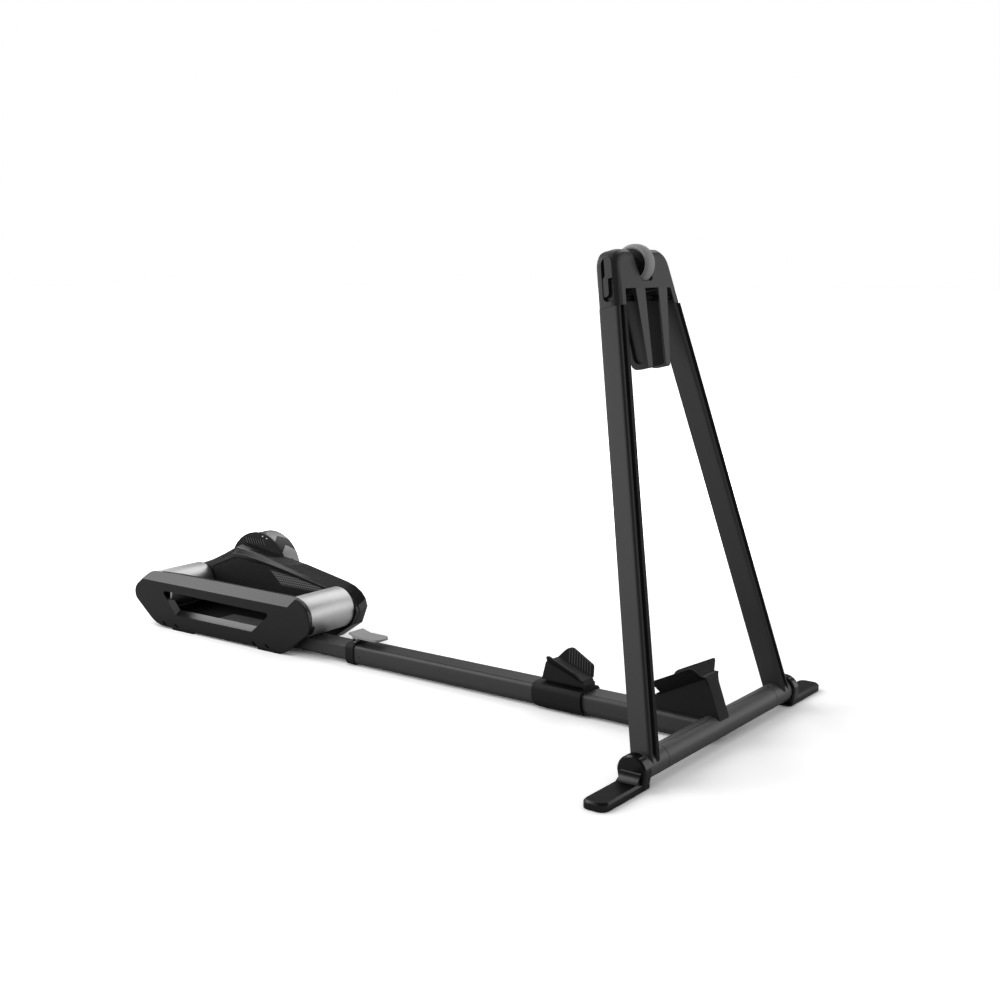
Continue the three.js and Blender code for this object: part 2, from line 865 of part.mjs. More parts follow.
const frontHollow = [
  [-frontCradle.blockRear + cradle.wall, cradleSeat - overrun],
  [frontCradle.blockFront - cradle.wall * 1.5, cradleSeat - overrun],
  [-frontCradle.crestReach - cradle.wall, frontCradle.crestHeight - cradle.wall * 4],
  [-frontCradle.rampLowReach + cradle.wall, frontCradle.rampLowHeight - cradle.wall * 2],
];

// The front wall follows the block's slope and widens in two arcs under the wings

const flareOut = frontCradle.flareRadius * (1 - Math.cos(cradle.flare));
const flareStart = frontCradle.crestHeight - frontCradle.flareRadius * Math.sin(cradle.flare);
const flareArc = Array.from({ length: cornerSteps + 1 }, (_, step) => {
  const angle = (cradle.flare * step) / cornerSteps;
  return new THREE.Vector2(
    cradle.blockHalfWidth + frontCradle.flareRadius * (1 - Math.cos(angle)),
    flareStart + frontCradle.flareRadius * Math.sin(angle),
  );
});
const frontWallHalf = [
  new THREE.Vector2(cradle.blockHalfWidth, cradleSeat),
  ...flareArc,
  new THREE.Vector2(cradle.blockHalfWidth + flareOut / 2, frontCradle.crestHeight),
];
const frontSlope = (frontCradle.blockFront + frontCradle.crestReach) / (frontCradle.crestHeight - cradleSeat);
const slopeBack = new THREE.Matrix4().makeShear(0, 0, 0, 0, 0, 0);
slopeBack.elements[8] = -frontSlope;
const frontWall = solid(
  prism([
    ...frontWallHalf,
    ...frontWallHalf.map((point) => new THREE.Vector2(-point.x, point.y)).reverse(),
  ], frontCradle.frontThickness)
    .applyMatrix4(frameX)
    .translate(frontCradle.blockFront - frontCradle.frontThickness, 0, -cradleSeat)
    .applyMatrix4(slopeBack)
    .translate(0, 0, cradleSeat),
);
addPiece(stand, 'front_cradle', less(
  joined(
    less(
      prismY(outline(frontBlockOutline), -cradle.blockHalfWidth, cradle.blockHalfWidth),
      prismY(outline(frontHollow), -cradle.blockHalfWidth + cradle.wall, cradle.blockHalfWidth - cradle.wall),
    ),
    frontTrough,
    frontWall,
  ),
  tubeCope,
), finish.castGrey);

const rearLow = new THREE.Vector2(rearCradle.rampLowReach, rearCradle.rampLowHeight);
const rearHigh = new THREE.Vector2(rearCradle.rampHighReach, rearCradle.rampHighHeight);
const rearRampAngle = rearHigh.clone().sub(rearLow).angle();
const rearLength = rearHigh.distanceTo(rearLow);
const rearSide = (length) => outline([
  [0, -cradle.wingThickness],
  [length, -cradle.wingThickness],
  [length, 0],
  [length - rearCradle.peakSetback / 2, rearCradle.wingHeight, rearCradle.peakRounding],
  [rearCradle.wingSetback, rearCradle.wingLowHeight, rearCradle.wingRounding],
  [0, 0],
]);
const ribLean = new THREE.Matrix4().makeShear(0, 0, 0, 0, 0, 0);
ribLean.elements[8] = Math.tan(rearCradle.ribLean);
const ribs = Array.from({ length: rearCradle.ribCount }, (_, index) => {
  const start = rearCradle.ribStart + index * rearCradle.ribPitch;
  const band = troughSection(
    cradle.blockHalfWidth - rearCradle.ribHeight * Math.SQRT1_2, rearCradle.wingHeight, cradle.wingThickness,
  );
  const floorCut = block(
    start - overrun, start + rearCradle.ribWidth + overrun,
    -cradle.blockHalfWidth, cradle.blockHalfWidth, -overrun * 2, cradle.wingThickness,
  );
  const rib = solid(
    prism(band, rearCradle.ribWidth).applyMatrix4(frameX).applyMatrix4(ribLean).translate(start, 0, 0),
  );
  return less(rib, floorCut);
});
const rearTrough = ramp(rearLow, rearHigh, rearSide, rearCradle.wingHeight, ribs)
  .rotate([0, -rearRampAngle / degree, 0])
  .mirror([1, 0, 0])
  .translate([-rearLow.x, 0, rearLow.y]);

const sleeveInner = clearance * 2;
const sleeveOuter = sleeveInner + sleeve.wall;
const sleeveTop = boom.top + sleeveOuter;
const sleeveFrontCurve = Array.from({ length: cornerSteps + 1 }, (_, step) => {
  const angle = (Math.PI / 2) * (step / cornerSteps);
  return [
    -sleeve.front - sleeve.frontSetback * Math.sin(angle),
    sleeve.skirtBottom + sleeve.frontRise * (1 - Math.cos(angle)),
  ];
});
const sleeveSide = outline([
  [-sleeve.rear, sleeve.skirtBottom, sleeve.skirtRadius],
  ...sleeveFrontCurve,
  [-sleeve.front - sleeve.frontSetback, sleeveTop + overrun],
  [-sleeve.rear, sleeveTop + overrun],
]);
addPiece(stand, 'cradle_sleeve', common(
  less(
    prismX(boomSection(sleeveOuter), -sleeve.rear, -sleeve.front),
    prismX(boomSection(sleeveInner), -sleeve.rear - overrun, -sleeve.front + overrun),
    block(
      -sleeve.rear - overrun, -sleeve.front + overrun,
      -boom.halfWidth, boom.halfWidth, -overrun * 2, sleeve.skirtBottom + overrun,
    ),
  ),
  prismY(sleeveSide, -boom.halfWidth - sleeveOuter - overrun, boom.halfWidth + sleeveOuter + overrun),
), finish.castGrey);

const neckBottom = sleeveTop + clearance;
const neckTop = neckBottom + rearCradle.neckHeight;
const rearBlock = prismY(outline([
  [-rearCradle.blockRear, neckTop],
  [-rearCradle.blockFront, neckTop],
  [-rearCradle.rampLowReach, rearCradle.rampLowHeight],
  [-rearCradle.rampHighReach, rearCradle.rampHighHeight],
  [-rearCradle.blockRear + rearCradle.blockTaper, rearCradle.rampHighHeight - cradle.wall],
]), -cradle.blockHalfWidth, cradle.blockHalfWidth);
const rearHollow = prismY(outline([
  [-rearCradle.blockRear + rearCradle.blockTaper, neckBottom - overrun],
  [-rearCradle.blockFront - cradle.wall, neckBottom - overrun],
  [-rearCradle.rampLowReach - cradle.wall, rearCradle.rampLowHeight - cradle.wall * 2],
  [-rearCradle.rampHighReach + cradle.wall, rearCradle.rampHighHeight - cradle.wall * 2],
]), -rearCradle.neckHalfWidth + cradle.wall, rearCradle.neckHalfWidth - cradle.wall);
const neck = block(
  -rearCradle.blockRear + cradle.wall, -rearCradle.blockFront - cradle.wall,
  -rearCradle.neckHalfWidth, rearCradle.neckHalfWidth, neckBottom, neckTop + cradle.wall,
);
const neckFront = block(
  -rearCradle.blockFront - cradle.wall, -rearCradle.blockFront,
  -cradle.blockHalfWidth, cradle.blockHalfWidth, neckBottom, neckTop + cradle.wall,
);
addPiece(stand, 'rear_cradle', joined(
  less(joined(rearBlock, neck), rearHollow),
  neckFront,
  rearTrough,
), finish.castGrey);

// A-frame, built upright about the cross tube's axis and leaned back as a group.
// Its heights are measured along the legs, and all that the head holds follows the legs' tops.

const capUnderside = frame.legTop + cap.undersideRise;
const capTop = frame.legTop + cap.topRise;
const tongueTop = frame.legTop + frame.tongueRise;
const dialHeight = capTop - dial.drop;
const armTop = capUnderside - arm.topGap;
const armBottom = armTop - arm.length;
const guideHeight = capUnderside - guide.drop;
const tabBottom = frame.legTop + tab.bottomRise;
const tabTop = tabBottom + tab.length;
const tabMiddle = tabBottom + tab.stepRise;

const aFrame = new THREE.Group();
aFrame.position.z = tube.axisHeight;
aFrame.rotation.y = -frame.lean;
stand.add(aFrame);

function legCentre(height) {
  return frame.footSpread - frame.insetShare * height;
}

// Pushes a solid sideways by the leg's own slope, so that it follows the leg

function slopedWithLeg(geometry) {
  const shear = new THREE.Matrix4().makeShear(0, 0, 0, 0, 0, 0);
  shear.elements[9] = -frame.insetShare;
  return geometry.applyMatrix4(shear).translate(0, frame.footSpread, 0);
}

function legPrism(section, from, to) {
  return solid(slopedWithLeg(prism(section, to - from).translate(0, 0, from)));
}

const channelOuter = frame.legHalfWidth - frame.channelSetback;
const channelInner = channelOuter - frame.channelWidth;
const legSection = outline([
  [-frame.legRear, -frame.legHalfWidth, frame.legInnerRadius],
  [frame.legFront, -frame.legHalfWidth, frame.legInnerRadius],
  [frame.legFront, channelInner, 0],
  [frame.legFront - frame.channelDepth, channelInner + clearance, 0],
  [frame.legFront - frame.channelDepth, channelOuter - clearance, 0],
  [frame.legFront, channelOuter, 0],
  [frame.legFront, frame.legHalfWidth, frame.legFrontRadius],
  [-frame.legRear, frame.legHalfWidth, frame.legOuterRadius],
]);
const tongueSection = outline(rectangle(
  -frame.legRear + frame.tongueInset, frame.legFront - frame.channelDepth - clearance,
  -frame.legHalfWidth + frame.tongueInset, frame.legHalfWidth - frame.tongueOuterCut, frame.legInnerRadius,
));
const tongueHoleSection = outline(rectangle(
  -frame.legRear + frame.tongueInset - clearance, frame.legFront - frame.channelDepth,
  -frame.legHalfWidth + frame.tongueInset - clearance, frame.legHalfWidth - frame.tongueOuterCut + clearance,
  frame.legInnerRadius,
));
const collarStart = tube.halfLength + clearance;
const collarEnd = tube.halfLength + collar.length - clearance;
const bushRadius = pivot.radius + clearance + collar.bushWall;
const collarCope = rod(tube.radius + clearance, collarStart - 4 * overrun, collarEnd + overrun);

sides.forEach(({ prefix, sign }) => {
  const leg = joined(
    legPrism(legSection, 0, frame.legTop),
    legPrism(tongueSection, frame.legTop - overrun, tongueTop),
  );
  addPiece(aFrame, `${prefix}_leg`, toSide(less(leg, collarCope), sign), finish.satinBlack);
  const legCollar = less(
    rod(tube.radius, collarStart, collarEnd),
    rod(bushRadius + clearance, collarStart - overrun, collarEnd + overrun, 0, 0, smallSteps),
  );
  addPiece(aFrame, `${prefix}_leg_collar`, toSide(legCollar, sign), finish.satinBlack);
  const collarBush = less(
    rod(bushRadius, collarStart, collarEnd, 0, 0, smallSteps),
    rod(pivot.radius + clearance, collarStart - overrun, collarEnd + overrun, 0, 0, smallSteps),
  );
  addPiece(aFrame, `${prefix}_collar_bush`, toSide(collarBush, sign), finish.plastic);
});

// Head cap: an inverted U over the legs, with a V slot for the dial

const capSideAt = (height) => legCentre(height) + frame.legHalfWidth + clearance;
const capInnerAt = (height) => legCentre(height) - frame.legHalfWidth + cap.innerSetback;
const capBottom = frame.legTop + clearance;
const capFrontOutline = outline([
  [-capSideAt(capBottom), capBottom],
  [-capInnerAt(capBottom), capBottom],
  [-capInnerAt(capUnderside), capUnderside, cap.innerRadius],
  [capInnerAt(capUnderside), capUnderside, cap.innerRadius],
  [capInnerAt(capBottom), capBottom],
  [capSideAt(capBottom), capBottom],
  [capSideAt(capTop), capTop, cap.cornerRadius],
  [-capSideAt(capTop), capTop, cap.cornerRadius],
], 2 * cornerSteps);

// The cap's outer edges are rounded by two hulls, one for the front face and one for the rear

const capHullOutline = outline([
  [-capSideAt(0), 0],
  [capSideAt(0), 0],
  [capSideAt(capTop), capTop, cap.cornerRadius],
  [-capSideAt(capTop), capTop, cap.cornerRadius],
], 2 * cornerSteps);
const capBody = common(
  prismX(capFrontOutline, -cap.rear, cap.front),
  prismX(capHullOutline, -cap.rear - 2 * cap.edgeRadius, cap.front, cap.edgeRadius, cornerSteps),
  prismX(capHullOutline, -cap.rear, cap.front + 2 * cap.rearEdgeRadius, cap.rearEdgeRadius, cornerSteps),
);

const dialSlot = joined(
  prismX(outline([
    [-cap.slotFloorHalfWidth, capUnderside + cap.bridge, cap.slotRadius],
    [cap.slotFloorHalfWidth, capUnderside + cap.bridge, cap.slotRadius],
    [cap.slotTopHalfWidth, capTop + overrun],
    [-cap.slotTopHalfWidth, capTop + overrun],
  ]), -cap.rear - overrun, cap.front + overrun),
  rod(dial.radius + dial.reliefGap, -dial.halfWidth - dial.reliefGap, dial.halfWidth + dial.reliefGap,
    dial.forward, dialHeight),
);
const spindleBore = rod(
  dial.spindleRadius + clearance, -dial.spindleHalfLength - clearance, dial.spindleHalfLength + clearance,
  dial.forward, dialHeight, smallSteps,
);
const nutEnd = arm.nutStart + arm.nutWidth;
const nutWell = joined(
  block(
    dial.forward - arm.nutRadius - runningGap, dial.forward + arm.nutRadius + runningGap,
    arm.nutStart - arm.closeTravel - runningGap, nutEnd + arm.openTravel + runningGap,
    capUnderside - overrun, dialHeight,
  ),
  rod(
    arm.nutRadius + runningGap, arm.nutStart - arm.closeTravel - runningGap, nutEnd + arm.openTravel + runningGap,
    dial.forward, dialHeight, smallSteps,
  ),
);

// The tab's pocket is a pill that runs down the outer face of each leg of the cap

function pillSection(gap) {
  const halfWidth = tab.halfWidth - gap;
  return rectangle(tab.forward - halfWidth, tab.forward + halfWidth, tabBottom + gap, tabTop - gap, halfWidth);
}

function alongLegSide(section, inner, outer) {
  const stretched = prism(outline(section), outer - inner).applyMatrix4(frameY).translate(0, outer, 0);
  return solid(slopedWithLeg(stretched));
}

const pocketFloor = frame.legHalfWidth - tab.pocketDepth;
const tabPocket = alongLegSide(pillSection(0), pocketFloor, frame.legHalfWidth + 2 * overrun);
const guideEnd = legCentre(guideHeight + guide.radius) - frame.legHalfWidth + frame.tongueInset - 2 * clearance;
const guideBore = rod(
  guide.radius + clearance, -guideEnd - clearance, guideEnd + clearance, guide.forward, guideHeight, smallSteps,
);
const capCutters = sides.flatMap(({ sign }) => [
  toSide(nutWell, sign),
  toSide(tabPocket, sign),
  toSide(legPrism(tongueHoleSection, capBottom - overrun, tongueTop + clearance), sign),
]);
addPiece(aFrame, 'head_cap', less(capBody, dialSlot, spindleBore, guideBore, ...capCutters), finish.satinBlack);

addPiece(aFrame, 'guide_rod', rod(
  guide.radius, -guideEnd, guideEnd, guide.forward, guideHeight, smallSteps,
), finish.steel);

// Tabs: an S-shaped paddle in each pocket, pressed to release the fold

const tabOuter = frame.legHalfWidth - tab.sunk;
const tabRear = tab.forward - tab.halfWidth;
const tabFront = tab.forward + tab.halfWidth;
const tabOutline = [
  [tabRear - overrun, tabBottom + tab.lowerGap],
  [tabFront - tab.lowerGap, tabBottom + tab.lowerGap, tab.bend],
  [tabFront - tab.lowerGap, tabMiddle],
  [tabFront + overrun, tabMiddle],
  [tabFront + overrun, tabTop + overrun],
  [tabRear + tab.upperGap, tabTop + overrun],
  [tabRear + tab.upperGap, tabMiddle + tab.bend],
  [tabRear - overrun, tabMiddle - tab.bend],
];
sides.forEach(({ prefix, sign }) => {
  const body = common(
    alongLegSide(tabOutline, tabOuter - tab.thickness, tabOuter),
    alongLegSide(pillSection(clearance), tabOuter - tab.thickness - overrun, tabOuter + overrun),
  );
  addPiece(aFrame, `${prefix}_tab`, toSide(body, sign), finish.satinBlack);
});

// Dial: a crowned rim on a dished wheel, keyed to the spindle

const rimInner = dial.radius - dial.rimDepth;
addPiece(aFrame, 'dial_rim', turned([
  [rimInner, -dial.halfWidth + dial.rimShoulder / 2],
  [dial.radius - dial.rimShoulder, -dial.halfWidth],
  [dial.radius - dial.rimCrown, -dial.halfWidth + dial.rimCrown],
  [dial.radius, -dial.halfWidth + dial.rimShoulder],
  [dial.radius, dial.halfWidth - dial.rimShoulder],
  [dial.radius - dial.rimCrown, dial.halfWidth - dial.rimCrown],
  [dial.radius - dial.rimShoulder, dial.halfWidth],
  [rimInner, dial.halfWidth - dial.rimShoulder / 2],
  [rimInner, -dial.halfWidth + dial.rimShoulder / 2],
], dial.forward, dialHeight), finish.dialGrey);
const hubOuter = rimInner - clearance;
const hubBore = dial.spindleRadius + clearance;
const bossRadius = 2 * hubBore;
addPiece(aFrame, 'dial_hub', turned([
  [hubBore, -dial.cheekHalfWidth],
  [bossRadius, -dial.cheekHalfWidth],
  [bossRadius + dial.cheekDish, -dial.cheekHalfWidth + dial.cheekDish],
  [hubOuter, -dial.cheekHalfWidth + dial.cheekDish],
  [hubOuter, dial.cheekHalfWidth - dial.cheekDish],
  [bossRadius + dial.cheekDish, dial.cheekHalfWidth - dial.cheekDish],
  [bossRadius, dial.cheekHalfWidth],
  [hubBore, dial.cheekHalfWidth],
  [hubBore, -dial.cheekHalfWidth],
], dial.forward, dialHeight, smallSteps), finish.plastic);
addPiece(aFrame, 'dial_spindle', rod(
  dial.spindleRadius, -dial.spindleHalfLength, dial.spindleHalfLength, dial.forward, dialHeight, smallSteps,
), finish.steel);

// Arms: a tapering shell with a pocketed outer face, hung from a nut on the spindle

const armSide = outline([
  [arm.topRear, armTop, 0],
  [-arm.bottomRear, armBottom, arm.rearRadius],
  [arm.bottomFront, armBottom, arm.frontRadius],
  [arm.topFront, armTop, 0],
]);
const pocketSide = outline([
  [arm.topRear + arm.pocketRim, armTop - arm.pocketRim, arm.frontRadius],
  [-arm.bottomRear + arm.pocketRim, armBottom + arm.pocketLedge, arm.rearRadius],
  [arm.bottomFront - arm.pocketRim, armBottom + arm.pocketLedge, arm.frontRadius],
  [arm.topFront - arm.pocketRim, armTop - arm.pocketRim, arm.frontRadius],
]);
const armFront = [
  [arm.halfGap, armBottom - overrun],
  [arm.bottomOuter, armBottom - overrun],
  [arm.bottomOuter, armBottom],
  [arm.topOuter, armTop],
  [arm.topOuter, armTop + overrun],
  [arm.halfGap, armTop + overrun],
];
const pocketFront = [
  [arm.bottomOuter - arm.pocketDepth, armBottom - overrun],
  [arm.topOuter + 2 * overrun, armBottom - overrun],
  [arm.topOuter + 2 * overrun, armTop + overrun],
  [arm.topOuter - arm.pocketDepth, armTop],
];
const armStem = block(
  dial.forward - arm.stemHalfDepth, dial.forward + arm.stemHalfDepth,
  arm.nutStart, arm.nutStart + arm.stemThickness, armTop - overrun, dialHeight,
);
const armNut = rod(arm.nutRadius, arm.nutStart, nutEnd, dial.forward, dialHeight, smallSteps);
const padHalfMargin = arm.padMargin;
const padSide = (gap) => outline([
  [arm.topRear + padHalfMargin - gap, armTop - padHalfMargin + gap, arm.padRadius],
  [-arm.bottomRear + padHalfMargin - gap, armBottom + padHalfMargin - gap, arm.padRadius],
  [arm.bottomFront - padHalfMargin + gap, armBottom + padHalfMargin - gap, arm.padRadius],
  [arm.topFront - padHalfMargin + gap, armTop - padHalfMargin + gap, arm.padRadius],
]);

sides.forEach(({ prefix, sign }) => {
  const shell = common(
    prismY(armSide, arm.halfGap, arm.topOuter + overrun),
    prismX(outline(armFront), -arm.bottomRear - overrun, arm.topFront + overrun),
  );
  const pocket = common(
    prismY(pocketSide, arm.halfGap, arm.topOuter + overrun),
    prismX(outline(pocketFront), -arm.bottomRear - overrun, arm.topFront + overrun),
  );
  const padSeat = prismY(padSide(clearance), arm.halfGap - overrun, arm.halfGap + arm.padThickness + clearance);
  const rodBore = rod(
    guide.radius + runningGap, arm.halfGap - overrun, arm.topOuter + overrun, guide.forward, guideHeight, smallSteps,
  );
  const bore = rod(
    dial.spindleRadius + clearance, arm.nutStart - overrun, nutEnd + overrun, dial.forward, dialHeight, smallSteps,
  );
  const body = less(joined(less(shell, pocket), armStem, armNut), padSeat, rodBore, bore);
  addPiece(aFrame, `${prefix}_arm`, toSide(body, sign), finish.satinBlack);
  const gripPad = less(prismY(padSide(0), arm.halfGap, arm.halfGap + arm.padThickness), rodBore);
  addPiece(aFrame, `${prefix}_arm_pad`, toSide(gripPad, sign), finish.rubber);
});

// Roller unit: everything that slides with the inner boom

const carriage = new THREE.Group();
carriage.position.x = -unit.station;
stand.add(carriage);

const boomFront = unit.station - innerBoom.frontEnd;
const boomRear = -base.boomReach;
addPiece(carriage, 'inner_boom', less(
  prismX(boomSection(slideGrowth), boomRear, boomFront),
  prismX(boomSection(slideGrowth - innerBoom.wall), boomRear - overrun, boomFront + overrun),
), finish.satinBlack);

// Base pan between the two sides, open underneath, notched for the boom

const plateInner = -plate.inner;
const baseNear = plateInner + clearance;
const baseFar = housing.inner - clearance;
const panOutline = [
  [-base.rearToe, base.bottom],
  [base.sillFront + base.skirtReach, base.bottom],
  [base.sillFront + base.skirtReach, base.skirtHeight],
  [base.sillFront, base.top, base.wall],
  [-base.sillRear, base.top, base.wall],
];
const panHollow = [
  [-base.rearToe + base.wall, base.bottom - overrun],
  [base.sillFront + base.skirtReach - base.wall, base.bottom - overrun],
  [base.sillFront + base.skirtReach - base.wall, base.skirtHeight - base.wall],
  [base.sillFront - base.wall, base.top - base.wall],
  [-base.sillRear + 3 * base.wall, base.top - base.wall],
];
const boomNotch = prismX(boomSection(bushInner), boomRear - clearance, boomFront);
addPiece(carriage, 'unit_base', less(
  prismY(outline(panOutline), baseNear, baseFar),
  prismY(outline(panHollow), baseNear + base.wall, baseFar - base.wall),
  boomNotch,
), finish.leverGrey);

// Near side plate: a rounded slab with a window and a long bevel along its top

const plateOuter = plateInner - plate.thickness;
const sidePlateOutline = outline(fromShares(sidePlateShares, unit.halfSpacing, plate.height), 2 * cornerSteps);
const [windowRearTop, windowRearLow, windowFrontLow, windowFrontTop] = fromShares(
  windowShares, unit.halfSpacing, plate.height,
);

// The sill climbs inwards, so its ends slide up along the window's slanting sides

function raised(low, top, rise) {
  const share = rise / (top[1] - low[1]);
  return [low[0] + share * (top[0] - low[0]), low[1] + rise, low[2]];
}

const windowOutline = (rise) => outline([
  windowRearTop,
  raised(windowRearLow, windowRearTop, rise),
  raised(windowFrontLow, windowFrontTop, rise),
  windowFrontTop,
]);
const window = loftY([
  { y: plateOuter - overrun, points: windowOutline(0) },
  { y: plateOuter, points: windowOutline(0) },
  { y: plateInner, points: windowOutline(plate.sillRise) },
  { y: plateInner + overrun, points: windowOutline(plate.sillRise) },
]);
const bevelWedge = prismX([
  new THREE.Vector2(plateOuter - overrun, plate.height - plate.bevelDrop),
  new THREE.Vector2(plateOuter, plate.height - plate.bevelDrop),
  new THREE.Vector2(plateOuter + plate.bevelRun, plate.height),
  new THREE.Vector2(plateOuter + plate.bevelRun, plate.height + overrun),
  new THREE.Vector2(plateOuter - overrun, plate.height + overrun),
], -plate.bevelRearReach, plate.bevelFrontReach + 2 * plate.bevelSlantRun);
const bevelEnd = prismY([
  new THREE.Vector2(-plate.bevelRearReach, plate.height - plate.bevelDrop - overrun),
  new THREE.Vector2(plate.bevelFrontReach, plate.height - plate.bevelDrop - overrun),
  new THREE.Vector2(plate.bevelFrontReach, plate.height - plate.bevelDrop),
  new THREE.Vector2(plate.bevelFrontReach + plate.bevelSlantRun, plate.height + overrun),
  new THREE.Vector2(-plate.bevelRearReach, plate.height + overrun),
], plateOuter - 2 * overrun, plateInner);
const shaftSeat = (x) => rod(
  roller.shaftRadius + clearance, plateInner - plate.shaftSeat, plateInner + overrun, x, roller.axisHeight, smallSteps,
);
const rollerRecess = (x) => rod(
  roller.radius + plate.recessMargin, plateInner - plate.rollerRecess, plateInner + overrun, x, roller.axisHeight,
);
const screwSlot = (along) => prismY(
  outline(rectangle(
    -plate.slotLength / 2, plate.slotLength / 2, -plate.slotWidth / 2, plate.slotWidth / 2,
    plate.slotWidth / 2 - clearance / 2,
  ), 1),
  plateOuter - overrun, plateOuter + plate.slotDepth,
).rotate([0, plate.slotTilt / degree, 0]).translate([along, 0, plate.slotHeight]);
const screwSlots = [-plate.slotRearReach, plate.slotFrontReach].flatMap((middleReach) => [
  screwSlot(middleReach - plate.slotPitch / 2),
  screwSlot(middleReach + plate.slotPitch / 2),
]);
addPiece(carriage, 'near_side_plate', less(
  prismY(sidePlateOutline, plateOuter, plateInner, plate.edgeRadius),
  window,
  common(bevelWedge, bevelEnd),
  shaftSeat(-unit.halfSpacing),
  shaftSeat(unit.halfSpacing),
  rollerRecess(-unit.halfSpacing),
  rollerRecess(unit.halfSpacing),
  ...screwSlots,
), finish.satinBlack);

// Two circles joined by their outer tangents, as a belt lies round two pulleys

const rearAxis = new THREE.Vector2(-unit.halfSpacing, roller.axisHeight);
const flyAxis = new THREE.Vector2(-flywheel.axisReach, flywheel.axisHeight);

function beltOutline(growth) {
  const large = pulley.driveRadius + growth;
  const small = pulley.drivenRadius + growth;
  const reach = flyAxis.clone().sub(rearAxis);
  const heading = reach.angle();
  const spread = Math.acos((large - small) / reach.length());
  const points = [];
  const sweep = (centre, radius, from, to) => {
    for (let step = 0; step <= smallSteps; step += 1) {
      const angle = from + ((to - from) * step) / smallSteps;
      points.push(new THREE.Vector2(centre.x + radius * Math.cos(angle), centre.y + radius * Math.sin(angle)));
    }
  };
  sweep(rearAxis, large, heading + spread, heading - spread + 2 * Math.PI);
  sweep(flyAxis, small, heading - spread, heading + spread);
  return points;
}

// Bay wall: a chamfered plate that faces the wheel, from its inner face to a crease

function housingSection(upShares) {
  const top = housingAlongShares.map((along, index) => new THREE.Vector2(
    along * unit.halfSpacing, upShares[index] * housing.height,
  ));
  const floor = housingFloorShares.map(([along, up]) => new THREE.Vector2(
    along * unit.halfSpacing, up * housing.height,
  ));
  return [...top, ...floor].reverse();
}

// Moves each corner of a counterclockwise outline inward by one distance

function inset(points, distance) {
  return points.map((point, index) => {
    const last = points[(index + points.length - 1) % points.length];
    const next = points[(index + 1) % points.length];
    const before = point.clone().sub(last).normalize();
    const after = next.clone().sub(point).normalize();
    const inward = new THREE.Vector2(-before.y - after.y, before.x + after.x).normalize();
    const stretch = 1 / Math.max(Math.sqrt((1 + before.dot(after)) / 2), Math.SQRT1_2);
    return point.clone().addScaledVector(inward, distance * stretch);
  });
}

const creasePoints = housingSection(housingCreaseShares);
const panelOutline = outline(fromShares(panelShares, unit.halfSpacing, housing.height));
const wallBack = housing.crease - clearance;
const shaftBore = (radius, from, to, axis) => rod(radius, from, to, axis.x, axis.y, smallSteps);
const frontAxis = new THREE.Vector2(unit.halfSpacing, roller.axisHeight);
addPiece(carriage, 'bay_wall', less(
  loftY([
    { y: housing.inner, points: housingSection(housingInnerShares) },
    { y: wallBack, points: creasePoints },
  ]),
  prismY(panelOutline, housing.inner - overrun, housing.inner + housing.panelDepth),
  shaftBore(roller.shaftRadius + clearance, housing.inner - overrun, housing.crease + overrun, frontAxis),
  shaftBore(roller.shaftRadius + runningGap, housing.inner - overrun, housing.crease + overrun, rearAxis),
), finish.satinBlack);

addPiece(carriage, 'bay_panel', prismY(
  inset(panelOutline, housing.panelGap),
  housing.inner + housing.panelSunk, housing.inner + housing.panelDepth - clearance,
), finish.plastic);

// Drive cover: a lofted shell behind the bay wall, hollow where the belt runs

const coverFloor = housing.outer - housing.wall;
const inletSeat = prismX(
  ring(inlet.radius + clearance, inlet.across, inlet.height, smallSteps),
  housingAlongShares[0] * unit.halfSpacing - overrun, housingAlongShares[0] * unit.halfSpacing + inlet.depth,
);
addPiece(carriage, 'drive_cover', less(
  loftY([
    { y: housing.crease + clearance, points: inset(creasePoints, housing.seam) },
    { y: housing.crease + housing.seamDepth, points: inset(creasePoints, housing.seam) },
    { y: housing.crease + 2 * housing.seamDepth, points: creasePoints },
    { y: housing.outer, points: housingSection(housingOuterShares) },
  ]),
  prismY(beltOutline(belt.room), housing.crease - overrun, coverFloor),
  shaftBore(flywheel.shaftRadius + runningGap, coverFloor - overrun, housing.outer + overrun, flyAxis),
  inletSeat,
), finish.satinBlack);

const inletFace = housingAlongShares[0] * unit.halfSpacing + clearance;
addPiece(carriage, 'power_inlet', less(
  prismX(ring(inlet.radius, inlet.across, inlet.height, smallSteps), inletFace, inletFace + inlet.depth - 2 * clearance),
  prismX(
    ring(inlet.boreRadius, inlet.across, inlet.height, smallSteps),
    inletFace - overrun, inletFace + inlet.depth - inlet.boreRadius,
  ),
), finish.plastic);

// Shroud: a disc behind the flywheel, with a row of leaning vents and two light ports

const shroudNear = housing.outer + clearance;
const shroudFar = shroudNear + shroud.thickness;

function polar(axis, radius, angle) {
  return new THREE.Vector2(axis.x + radius * Math.cos(angle), axis.y + radius * Math.sin(angle));
}

